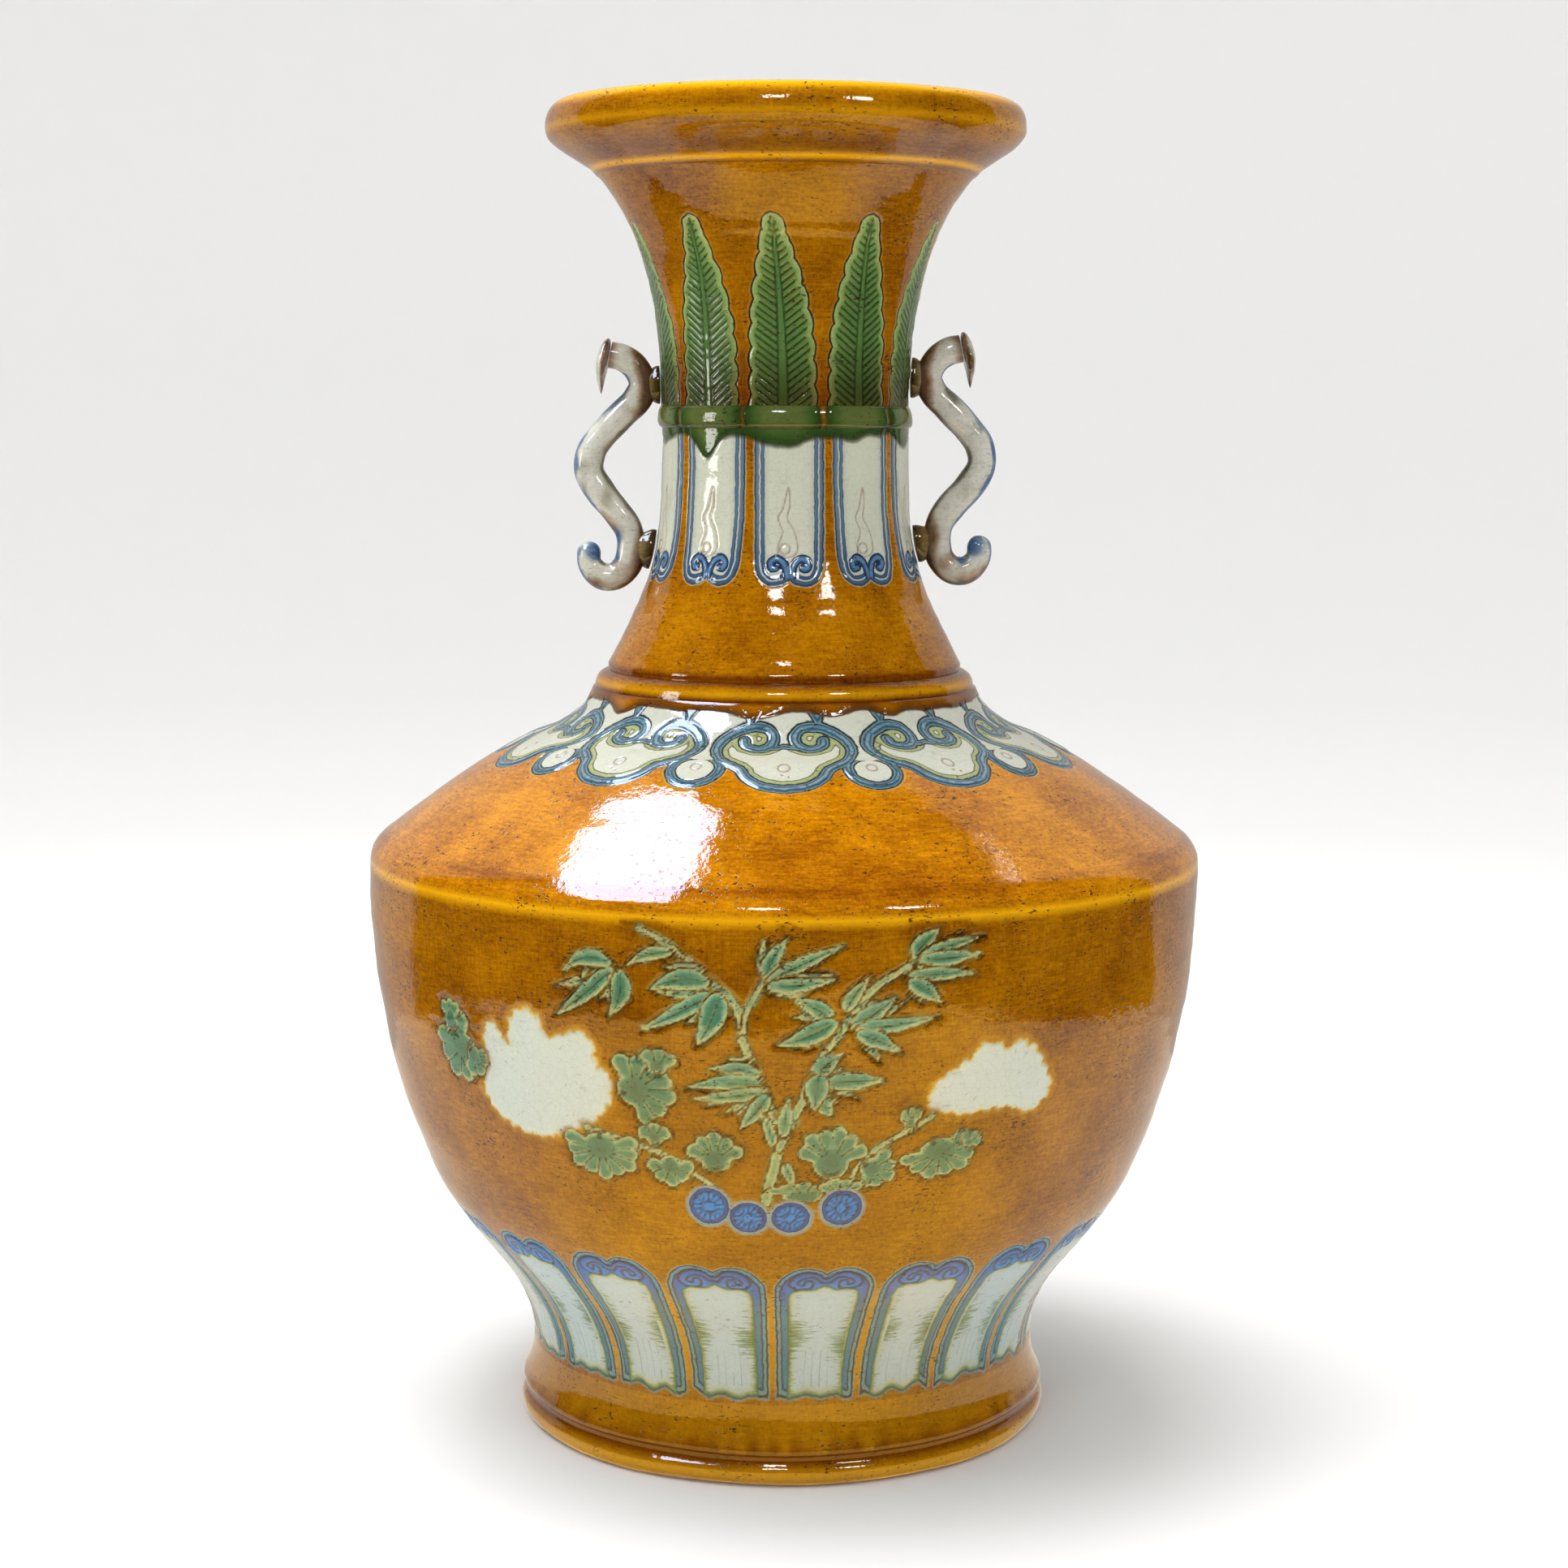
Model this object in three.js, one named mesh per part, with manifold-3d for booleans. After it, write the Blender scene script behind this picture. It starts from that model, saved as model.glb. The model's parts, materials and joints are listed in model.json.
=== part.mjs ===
// Sancai vase: a wheel-thrown baluster with a pan mouth, a ringed neck and two scroll handles.
// Millimetres, +Z up, origin at the centre of the foot's underside. The handles stand at +X and -X.
// The vase is thrown in sections and luted together, so each section ends in flat seams.
import * as THREE from "three";
import { mergeVertices } from "three/addons/utils/BufferGeometryUtils.js";
import Module from "manifold-3d";

// Heights of the thrown sections, from the ground up
const footHeight = 27;
const bodyHeight = 169;
const shoulderHeight = 58;
const collarHeight = 6;
const lowerNeckHeight = 82;
const bandHeight = 7.5;
const upperNeckHeight = 76.5;
const mouthHeight = 24;

// Outer radii
const standingRadius = 86.5; // edge of the flat that the vase stands on
const footBeadRadius = 92;
const footGrooveRadius = 90.4;
const waistRadius = 87.8;
const bellyKneeRadius = 122.1; // where the belly's flare turns into its upright wall
const bellyKneeRise = 63; // above the waist
const creaseRadius = 142.6;
const shoulderBendRadius = 86; // where the shoulder's slope turns up into the neck
const shoulderBendDrop = 16; // below the collar
const shoulderTopRadius = 65.8;
const collarBeadRadius = 65.2;
const collarTopRadius = 61.3;
const neckRadius = 42.2;
const bandProud = 1.4; // the green ring's bead, out from the neck
const bandRadius = neckRadius + bandProud;
const mouthSeatRadius = 63.8;
const lipRadius = 81.3;

// Walls, measured level, from the outer surface to the inner one at each seam
const footWall = 11;
const waistWall = 12;
const creaseWall = 9;
const shoulderWall = 9; // square to the slope
const shoulderTopWall = 12;
const collarTopWall = 11;
const neckWall = 8;
const mouthSeatWall = 9.5;
const floorThickness = 11;
const floorCorner = 14; // fillet between the floor and the belly's wall

// Edges and beads
const creaseRound = 9; // rise of the rounded edge between belly and shoulder
const lipRise = 8.5; // from the lip's widest line to its top
const lipThickness = 11;
const footBeadRise = 5;
const footGrooveRise = 9.5;

// Scroll handles
const rodRadius = 4.8;
const rodBulgeRadius = 5.2;
const rodTipRadius = 4.3;
const upperSeatDrop = 69.5; // from the mouth's seam down to where the rod's upper bend is luted
const seatSpan = 55.5; // between the two luted bends
const rightHandleLift = 2.5; // the right handle was set on a little higher
const upperJointBed = 1.3; // clay between the rod and the neck
const lowerJointBed = 2.6;
const padOutward = 0.6; // from the middle of the bed out to the middle of the clay pad
const scrollReach = 18.6; // from the upper bend's centre line out to the middle of the S
const headReach = 11;
const headRiseAboveSeat = 10;
const curlReach = 14.2;
const curlDrop = 9.6;

// Flat heads of the scrolls
const headWidth = 20;
const headRise = 5.4; // from the rod's centre up to the head's top
const headDrop = 13.6; // from the rod's centre down to the head's point
const headThickness = 3.8;

// Luted joints: pads of clay pressed in round the bends
const upperPadHalf = new THREE.Vector3(4.2, 6.4, 8.6);
const lowerPadHalf = new THREE.Vector3(4.8, 6.6, 8.8);

const clearance = 0.3; // between pieces that meet on curved surfaces
const bodySides = 52;
const neckSides = 48;
const rodSides = 10;
const rodSteps = 46;

// Seam levels, worked out from the section heights
const waistLevel = footHeight;
const creaseLevel = waistLevel + bodyHeight;
const shoulderLevel = creaseLevel + shoulderHeight;
const collarLevel = shoulderLevel + collarHeight;
const bandLevel = collarLevel + lowerNeckHeight;
const upperNeckLevel = bandLevel + bandHeight;
const mouthLevel = upperNeckLevel + upperNeckHeight;
const topLevel = mouthLevel + mouthHeight;

const wasm = await Module();
wasm.setup();

const glazes = {
  amber: new THREE.MeshStandardMaterial({ color: "#b8740f", roughness: 0.12, metalness: 0 }),
  darkAmber: new THREE.MeshStandardMaterial({ color: "#8f560c", roughness: 0.15, metalness: 0 }),
  green: new THREE.MeshStandardMaterial({ color: "#4e7a45", roughness: 0.12, metalness: 0 }),
  white: new THREE.MeshStandardMaterial({ color: "#cdd0bd", roughness: 0.15, metalness: 0 }),
};

const vase = new THREE.Group();

function addPiece(name, geometry, glaze) {
  const mesh = new THREE.Mesh(geometry, glazes[glaze]);
  mesh.name = name;
  vase.add(mesh);
}

// Points up a section's outline, given as a path of radius and height.
function outline(start, draw, divisions) {
  const path = new THREE.Path();
  path.moveTo(start[0], start[1]);
  draw(path);
  return path.getPoints(divisions);
}

// The inner surface behind an outline: the outline set in by the wall, which changes evenly from end to end.
// It can start above the outline's foot, where a floor takes up the height below.
function innerWall(outer, bottomWall, topWall, count, startLevel = outer[0].y) {
  const low = outer[0].y;
  const high = outer[outer.length - 1].y;
  const points = [];
  for (let i = 0; i <= count; i++) {
    const level = THREE.MathUtils.lerp(startLevel, high, i / count);
    const wall = THREE.MathUtils.mapLinear(level, low, high, bottomWall, topWall);
    points.push(new THREE.Vector2(radiusOn(outer, level) - wall, level));
  }
  return points;
}

// Radius of an outline at a level.
function radiusOn(outer, level) {
  const above = outer.findIndex((point) => point.y >= level);
  if (above <= 0) return outer[Math.max(above, 0)].x;
  const a = outer[above - 1];
  const b = outer[above];
  return THREE.MathUtils.mapLinear(level, a.y, b.y, a.x, b.x);
}

// A thrown ring: the outline up the outside, then down the inside, closed on itself.
function thrownRing(outer, inner, sides) {
  const profile = [...outer, ...inner.toReversed(), outer[0]];
  return standUp(new THREE.LatheGeometry(profile, sides));
}

// A lathe turns about Y, and the vase stands along Z.
function standUp(geometry) {
  return geometry.rotateX(Math.PI / 2);
}

function toSolid(geometry) {
  const plain = geometry.clone();
  plain.deleteAttribute("normal");
  plain.deleteAttribute("uv");
  const merged = mergeVertices(plain, 1e-4);
  const mesh = new wasm.Mesh({
    numProp: 3,
    vertProperties: merged.attributes.position.array,
    triVerts: new Uint32Array(merged.index.array),
  });
  return new wasm.Manifold(mesh);
}

function toGeometry(solid) {
  const mesh = solid.getMesh();
  const geometry = new THREE.BufferGeometry();
  geometry.setAttribute("position", new THREE.BufferAttribute(mesh.vertProperties, 3));
  geometry.setIndex(new THREE.BufferAttribute(mesh.triVerts, 1));
  geometry.computeVertexNormals();
  return geometry;
}

// Outlines of the thrown sections, each from its lower seam to its upper one
const footOutline = outline([standingRadius, 0], (path) => {
  path.quadraticCurveTo(footBeadRadius, 0, footBeadRadius, footBeadRise);
  path.quadraticCurveTo(footBeadRadius, footGrooveRise - 1.5, footGrooveRadius, footGrooveRise);
  path.quadraticCurveTo(footBeadRadius, footGrooveRise + 2, footBeadRadius - 1, footGrooveRise + 4);
  path.quadraticCurveTo(waistRadius, waistLevel - 8, waistRadius, waistLevel);
}, 2);

const kneeLevel = waistLevel + bellyKneeRise;
const bodyOutline = outline([waistRadius, waistLevel], (path) => {
  path.bezierCurveTo(waistRadius - 0.5, waistLevel + 25.8, bellyKneeRadius - 10.5, kneeLevel - 23.3,
    bellyKneeRadius, kneeLevel);
  path.bezierCurveTo(bellyKneeRadius + 14.2, kneeLevel + 31.5, creaseRadius + 0.6, creaseLevel - 38,
    creaseRadius, creaseLevel);
}, 7);

const bendLevel = shoulderLevel - shoulderBendDrop;
const shoulderOutline = outline([creaseRadius, creaseLevel], (path) => {
  path.quadraticCurveTo(creaseRadius, creaseLevel + creaseRound * 0.55, creaseRadius - 5.4,
    creaseLevel + creaseRound);
  path.bezierCurveTo(creaseRadius - 21, creaseLevel + 21, shoulderBendRadius + 13, bendLevel - 5.5,
    shoulderBendRadius, bendLevel);
  path.quadraticCurveTo(shoulderTopRadius + 4.2, bendLevel + 5, shoulderTopRadius, shoulderLevel);
}, 3);

const collarOutline = outline([shoulderTopRadius - 0.5, shoulderLevel], (path) => {
  path.lineTo(collarBeadRadius, shoulderLevel + 1.6);
  path.quadraticCurveTo(collarBeadRadius - 0.6, collarLevel - 0.8, collarTopRadius, collarLevel);
}, 2);

const lowerNeckOutline = outline([collarTopRadius - 0.7, collarLevel], (path) => {
  path.lineTo(collarTopRadius - 0.4, collarLevel + 1.8);
  path.bezierCurveTo(neckRadius + 3.6, collarLevel + 31, neckRadius - 0.4, collarLevel + 37,
    neckRadius, bandLevel);
}, 7);

const bandOutline = outline([neckRadius + 0.1, bandLevel], (path) => {
  path.quadraticCurveTo(bandRadius + 0.2, bandLevel + 0.6, bandRadius, bandLevel + bandHeight * 0.45);
  path.quadraticCurveTo(bandRadius - 0.2, upperNeckLevel - 0.8, neckRadius + 0.1, upperNeckLevel);
}, 2);

const upperNeckOutline = outline([neckRadius + 0.1, upperNeckLevel], (path) => {
  path.bezierCurveTo(neckRadius - 0.2, upperNeckLevel + 33, mouthSeatRadius - 14.6, mouthLevel - 16.5,
    mouthSeatRadius, mouthLevel);
}, 7);

const lipLevel = topLevel - lipRise;
const mouthOutline = outline([mouthSeatRadius + 0.3, mouthLevel], (path) => {
  path.lineTo(mouthSeatRadius + 1.5, mouthLevel + 1.1); // the raised line under the rim
  path.lineTo(mouthSeatRadius + 2.2, mouthLevel + 2);
  path.bezierCurveTo(mouthSeatRadius + 8, mouthLevel + 6.2, lipRadius, lipLevel - 5.5, lipRadius, lipLevel);
  path.bezierCurveTo(lipRadius, lipLevel + lipRise * 0.62, lipRadius - 2.4, topLevel,
    lipRadius - lipThickness * 0.45, topLevel);
}, 4);

// Foot: a hollow ring, flat underneath
const footInner = innerWall(footOutline, footWall, waistWall, 2);
footInner[0].x = standingRadius - footWall + 2.5;
addPiece("foot_ring", thrownRing(footOutline, footInner, bodySides), "amber");

// Body: a bowl with its floor on the foot
function bowlProfile() {
  const floorLevel = waistLevel + floorThickness;
  const wall = innerWall(bodyOutline, waistWall, creaseWall, 6, floorLevel + floorCorner);
  const floorRadius = radiusOn(bodyOutline, floorLevel) - waistWall;
  const corner = new THREE.QuadraticBezierCurve(
    wall[0],
    new THREE.Vector2(floorRadius, floorLevel),
    new THREE.Vector2(floorRadius - floorCorner, floorLevel),
  ).getPoints(3);
  return [
    new THREE.Vector2(0, waistLevel),
    ...bodyOutline,
    ...wall.toReversed(),
    ...corner.slice(1),
    new THREE.Vector2(0, floorLevel),
  ];
}
addPiece("lower_body", standUp(new THREE.LatheGeometry(bowlProfile(), bodySides)), "amber");

// Shoulder, collar, neck and mouth: open rings, one on top of the other
const shoulderInner = outline([creaseRadius - creaseWall, creaseLevel], (path) => {
  path.bezierCurveTo(creaseRadius - creaseWall - 7, creaseLevel + 10, shoulderBendRadius + 9,
    bendLevel - shoulderWall - 4, shoulderBendRadius - 3.5, bendLevel - shoulderWall);
  path.quadraticCurveTo(shoulderTopRadius - shoulderTopWall + 5, bendLevel, shoulderTopRadius - shoulderTopWall,
    shoulderLevel);
}, 3);
addPiece("shoulder", thrownRing(shoulderOutline, shoulderInner, bodySides), "amber");

const collarInner = innerWall(collarOutline, shoulderTopWall - 0.5, collarTopWall, 1);
addPiece("neck_collar", thrownRing(collarOutline, collarInner, neckSides), "darkAmber");

const lowerNeckInner = innerWall(lowerNeckOutline, collarTopWall - 0.7, neckWall, 4);
addPiece("lower_neck", thrownRing(lowerNeckOutline, lowerNeckInner, neckSides), "white");

const bandInner = innerWall(bandOutline, neckWall, neckWall, 1);
addPiece("neck_band", thrownRing(bandOutline, bandInner, neckSides), "green");

const upperNeckInner = innerWall(upperNeckOutline, neckWall, mouthSeatWall, 4);
addPiece("upper_neck", thrownRing(upperNeckOutline, upperNeckInner, neckSides), "green");

const mouthInner = outline([mouthSeatRadius + 0.3 - mouthSeatWall, mouthLevel], (path) => {
  path.bezierCurveTo(mouthSeatRadius - 1, mouthLevel + 8, lipRadius - lipThickness - 3, mouthLevel + 12,
    lipRadius - lipThickness, topLevel - 4);
  path.quadraticCurveTo(lipRadius - lipThickness + 1, topLevel, lipRadius - lipThickness * 0.6, topLevel);
}, 3);
addPiece("mouth_rim", thrownRing(mouthOutline, mouthInner, bodySides), "amber");

// The neck as the handles meet it: its sections' outlines, let out by the clearance and filled
const neckOutline = [...lowerNeckOutline, ...bandOutline, ...upperNeckOutline];
const neckCore = toSolid(standUp(new THREE.LatheGeometry([
  new THREE.Vector2(0, neckOutline[0].y),
  ...neckOutline.map((point) => new THREE.Vector2(point.x + clearance, point.y)),
  new THREE.Vector2(0, neckOutline[neckOutline.length - 1].y),
], neckSides)));

// Centre line of a scroll: the flat head, a bend on the neck, the S, a second bend, and the curled end.
function scrollSeats(lift) {
  const upperLevel = mouthLevel - upperSeatDrop + lift;
  const lowerLevel = upperLevel - seatSpan;
  const seatRadius = (level) => Math.max(radiusOn(neckOutline, level - 3), radiusOn(neckOutline, level + 3));
  return {
    upper: new THREE.Vector2(seatRadius(upperLevel) + upperJointBed + rodRadius, upperLevel),
    lower: new THREE.Vector2(seatRadius(lowerLevel) + lowerJointBed + rodRadius, lowerLevel),
  };
}

function scrollPath({ upper, lower }) {
  const outer = upper.x + scrollReach;
  const middle = (upper.y + lower.y) / 2;
  const points = [
    [upper.x + headReach, upper.y + headRiseAboveSeat],
    [upper.x + headReach * 0.66, upper.y + headRiseAboveSeat * 0.92],
    [upper.x + headReach * 0.24, upper.y + headRiseAboveSeat * 0.6],
    [upper.x, upper.y],
    [upper.x + 2.1, upper.y - 5.2],
    [upper.x + 6.6, upper.y - 9.6],
    [outer - 5, middle + 10.8],
    [outer - 1, middle + 5],
    [outer - 0.2, middle - 1.6],
    [outer - 4.4, middle - 9],
    [lower.x + 5, lower.y + 12.4],
    [lower.x + 1, lower.y + 6.4],
    [lower.x, lower.y],
    [lower.x + 1.4, lower.y - 5.8],
    [lower.x + curlReach * 0.38, lower.y - curlDrop],
    [lower.x + curlReach * 0.72, lower.y - curlDrop],
    [lower.x + curlReach, lower.y - curlDrop + 4.2],
    [lower.x + curlReach, lower.y + 2.2],
  ];
  return new THREE.CatmullRomCurve3(points.map(([x, z]) => new THREE.Vector3(x, 0, z)), false, "centripetal");
}

// Radius of the rod from its head (0) to its curled end (1): fullest in the middle of the S and in the curl.
function rodRadiusAt(share) {
  const swell = Math.sin(Math.PI * Math.min(share / 0.92, 1));
  const body = THREE.MathUtils.lerp(rodRadius, rodBulgeRadius, swell);
  const towardsTip = THREE.MathUtils.smoothstep(share, 0.86, 1);
  return THREE.MathUtils.lerp(body, rodTipRadius, towardsTip);
}

// A rod rolled along the path, with a flat end at the head and a round one at the curl. Grow adds to its radius.
function scrollRod(path, grow) {
  const length = path.getLength();
  const stations = [];
  const roundStart = length - rodTipRadius;
  for (let i = 0; i <= rodSteps; i++) {
    const distance = (roundStart * i) / rodSteps;
    stations.push({ distance, radius: rodRadiusAt(distance / length) + grow });
  }
  for (const angle of [30, 60]) {
    const turn = THREE.MathUtils.degToRad(angle);
    const distance = roundStart + rodTipRadius * Math.sin(turn);
    stations.push({ distance, radius: rodTipRadius * Math.cos(turn) + grow });
  }
  const positions = [];
  const across = new THREE.Vector3(0, 1, 0);
  for (const { distance, radius } of stations) {
    const share = distance / length;
    const centre = path.getPointAt(share);
    const outward = new THREE.Vector3().crossVectors(path.getTangentAt(share), across);
    for (let side = 0; side < rodSides; side++) {
      const angle = (2 * Math.PI * side) / rodSides;
      const point = centre.clone();
      point.addScaledVector(outward, radius * Math.cos(angle));
      point.addScaledVector(across, radius * Math.sin(angle));
      positions.push(...point.toArray());
    }
  }
  positions.push(...path.getPointAt(0).toArray());
  positions.push(...path.getPointAt(1).toArray());
  const start = stations.length * rodSides;
  const index = [];
  for (let side = 0; side < rodSides; side++) {
    const next = (side + 1) % rodSides;
    index.push(start, side, next);
    for (let ring = 0; ring < stations.length - 1; ring++) {
      const a = ring * rodSides + side;
      const b = ring * rodSides + next;
      index.push(a, b + rodSides, b, a, a + rodSides, b + rodSides);
    }
    const last = start - rodSides;
    index.push(last + next, last + side, start + 1);
  }
  const geometry = new THREE.BufferGeometry();
  geometry.setAttribute("position", new THREE.Float32BufferAttribute(positions, 3));
  geometry.setIndex(index);
  geometry.computeVertexNormals();
  return geometry;
}

// Flat head: a trefoil seen from the side, cut to a bulging, pointed wedge seen from the front.
function scrollHead(path) {
  const half = headWidth / 2;
  const trefoil = new THREE.Shape();
  trefoil.moveTo(0, -headDrop);
  trefoil.bezierCurveTo(half * 0.2, -headDrop * 0.76, half * 0.55, -headDrop * 0.62, half * 0.76, -headDrop * 0.56);
  trefoil.bezierCurveTo(half * 1.08, -headDrop * 0.46, half * 1.08, -headDrop * 0.12, half * 0.82, 0);
  trefoil.bezierCurveTo(half * 0.76, headRise * 0.66, half * 0.4, headRise, 0, headRise);
  trefoil.bezierCurveTo(-half * 0.4, headRise, -half * 0.76, headRise * 0.66, -half * 0.82, 0);
  trefoil.bezierCurveTo(-half * 1.08, -headDrop * 0.12, -half * 1.08, -headDrop * 0.46, -half * 0.76, -headDrop * 0.56);
  trefoil.bezierCurveTo(-half * 0.55, -headDrop * 0.62, -half * 0.2, -headDrop * 0.76, 0, -headDrop);
  const plate = new THREE.ExtrudeGeometry(trefoil, {
    depth: headThickness, bevelEnabled: false, curveSegments: 5,
  });
  // The trefoil's width goes along Y, its height along Z and its thickness outward along X.
  plate.applyMatrix4(new THREE.Matrix4().makeBasis(
    new THREE.Vector3(0, 1, 0), new THREE.Vector3(0, 0, 1), new THREE.Vector3(1, 0, 0),
  ));
  const wedge = new THREE.Shape();
  wedge.moveTo(0, -headDrop - 0.01);
  wedge.lineTo(0.7, -headDrop - 0.01);
  wedge.bezierCurveTo(headThickness, -headDrop * 0.62, headThickness * 1.3, -headDrop * 0.2,
    headThickness * 0.62, headRise + 0.01);
  wedge.lineTo(0, headRise + 0.01);
  const side = new THREE.ExtrudeGeometry(wedge, { depth: headWidth + 2, bevelEnabled: false, curveSegments: 8 });
  side.rotateX(Math.PI / 2);
  side.translate(0, half + 1, 0);
  const solid = toSolid(plate).intersect(toSolid(side));
  const end = path.getPointAt(0);
  const inward = path.getTangentAt(0);
  const geometry = toGeometry(solid);
  geometry.translate(clearance, 0, 0);
  geometry.rotateY(-Math.atan2(-inward.z, -inward.x)); // square to the rod's flat end
  geometry.translate(end.x, 0, end.z);
  return geometry;
}

// Luted joint: a pad of clay behind a bend, hollowed to the neck on one side and to the rod on the other.
function jointPad(seat, half, bed, rodAndGap) {
  const pad = new THREE.SphereGeometry(1, 14, 8);
  pad.rotateX(Math.PI / 2);
  pad.scale(half.x, half.y, half.z);
  pad.translate(seat.x - rodRadius - bed / 2 + padOutward, 0, seat.y);
  return toGeometry(toSolid(pad).subtract(neckCore).subtract(rodAndGap));
}

function addHandle(side, lift) {
  const seats = scrollSeats(lift);
  const path = scrollPath(seats);
  const rodAndGap = toSolid(scrollRod(path, clearance));
  const pieces = {
    "": [scrollRod(path, 0), "white"],
    _head: [scrollHead(path), "white"],
    _upper_joint: [jointPad(seats.upper, upperPadHalf, upperJointBed, rodAndGap), "darkAmber"],
    _lower_joint: [jointPad(seats.lower, lowerPadHalf, lowerJointBed, rodAndGap), "darkAmber"],
  };
  for (const [suffix, [geometry, glaze]] of Object.entries(pieces)) {
    if (side === "left") geometry.rotateZ(Math.PI);
    addPiece(`handle_${side}${suffix}`, geometry, glaze);
  }
}
addHandle("left", 0);
addHandle("right", rightHandleLift);

export default vase;
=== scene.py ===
import json
import math

import bmesh
import bpy
import numpy as np
from mathutils import Matrix, Vector

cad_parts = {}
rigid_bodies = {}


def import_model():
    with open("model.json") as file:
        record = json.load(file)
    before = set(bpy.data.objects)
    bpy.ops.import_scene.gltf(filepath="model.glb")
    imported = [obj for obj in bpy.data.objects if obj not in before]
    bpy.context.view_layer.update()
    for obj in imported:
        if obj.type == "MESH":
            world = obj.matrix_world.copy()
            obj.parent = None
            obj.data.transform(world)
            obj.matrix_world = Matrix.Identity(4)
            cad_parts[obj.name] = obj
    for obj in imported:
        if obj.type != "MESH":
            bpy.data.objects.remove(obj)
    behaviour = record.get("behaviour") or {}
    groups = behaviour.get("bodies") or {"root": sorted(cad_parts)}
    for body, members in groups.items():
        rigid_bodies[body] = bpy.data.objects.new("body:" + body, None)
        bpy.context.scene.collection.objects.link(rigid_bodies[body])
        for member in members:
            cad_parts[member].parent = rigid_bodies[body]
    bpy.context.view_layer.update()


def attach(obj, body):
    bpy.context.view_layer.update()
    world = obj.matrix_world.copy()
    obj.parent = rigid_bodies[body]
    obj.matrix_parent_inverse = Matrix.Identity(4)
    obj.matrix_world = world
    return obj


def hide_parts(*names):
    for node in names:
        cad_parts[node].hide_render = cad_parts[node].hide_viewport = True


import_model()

bl_info = {
    "name": "Sancai vase",
    "version": (1, 0, 0),
    "blender": (4, 5, 0),
    "location": "3D View > Sidebar > Vase",
    "description": "Builds a wheel-thrown lead-glazed vase with carved and painted bands and two scroll handles",
    "category": "Object",
}

MM = 0.001  # the drawing is worked out in millimetres and the meshes are in metres
FAR = 30.0  # millimetres, for a place that is outside every drawn shape
SPRAY_RADIUS = 135.0  # the belly spray is drawn flat, on a cylinder of this radius


def linear(hex_colour):
    """An sRGB hex value as linear red, green and blue."""
    channels = [int(hex_colour[i:i + 2], 16) / 255 for i in (1, 3, 5)]
    return [c / 12.92 if c <= 0.04045 else ((c + 0.055) / 1.055) ** 2.4 for c in channels]


def length(name, description, millimetres):
    """A length that a user can change, given in millimetres."""
    return bpy.props.FloatProperty(
        name=name, description=description, default=millimetres * MM, min=0.0, unit="LENGTH", precision=4,
    )


def colour(name, description, hex_colour):
    """A colour that a user can change."""
    return bpy.props.FloatVectorProperty(
        name=name, description=description, default=linear(hex_colour), size=3, min=0.0, max=1.0, subtype="COLOR",
    )


class VaseSizes(bpy.types.PropertyGroup):
    """Heights and radii of the thrown sections and the scroll handles."""

    foot_height: length("Foot height", "From the ground to the waist seam", 27)
    body_height: length("Body height", "From the waist seam to the crease", 169)
    shoulder_height: length("Shoulder height", "From the crease to the collar", 58)
    collar_height: length("Collar height", "Height of the bead at the neck's foot", 6)
    lower_neck_height: length("Lower neck height", "From the collar to the green band", 82)
    band_height: length("Band height", "Height of the bead in the middle of the neck", 7.5)
    upper_neck_height: length("Upper neck height", "From the green band to the mouth's seam", 76.5)
    mouth_height: length("Mouth height", "From the mouth's seam to the lip", 24)
    standing_radius: length("Standing radius", "Edge of the flat that the vase stands on", 86.5)
    foot_bead_radius: length("Foot bead radius", "Widest line of the foot", 92)
    foot_groove_radius: length("Foot groove radius", "Bottom of the groove above the foot's bead", 90.4)
    waist_radius: length("Waist radius", "Seam between foot and body", 87.8)
    knee_radius: length("Knee radius", "Where the belly's flare turns upright", 122.1)
    knee_rise: length("Knee rise", "Height of the knee above the waist", 63)
    crease_radius: length("Crease radius", "Widest line of the vase", 142.6)
    bend_radius: length("Bend radius", "Where the shoulder turns up into the neck", 86)
    bend_drop: length("Bend drop", "Depth of the bend below the collar", 16)
    shoulder_top_radius: length("Shoulder top radius", "Seam between shoulder and collar", 65.8)
    collar_bead_radius: length("Collar bead radius", "Widest line of the collar", 65.2)
    collar_top_radius: length("Collar top radius", "Seam between collar and neck", 61.3)
    neck_radius: length("Neck radius", "Narrowest line of the neck", 42.2)
    band_proud: length("Band proud", "How far the green band stands out from the neck", 1.4)
    mouth_seat_radius: length("Mouth seat radius", "Seam between neck and mouth", 63.8)
    lip_radius: length("Lip radius", "Widest line of the mouth", 81.3)
    rod_radius: length("Rod radius", "Radius of the scroll handles' rods", 4.8)
    seat_drop: length("Seat drop", "From the mouth's seam down to the handles' upper joints", 69.5)
    seat_span: length("Seat span", "Between the upper and the lower joint of a handle", 55.5)
    right_lift: length("Right handle lift", "How much higher the right handle was set on", 2.5)
    scroll_reach: length("Scroll reach", "From the upper joint out to the middle of the S", 18.6)


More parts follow.
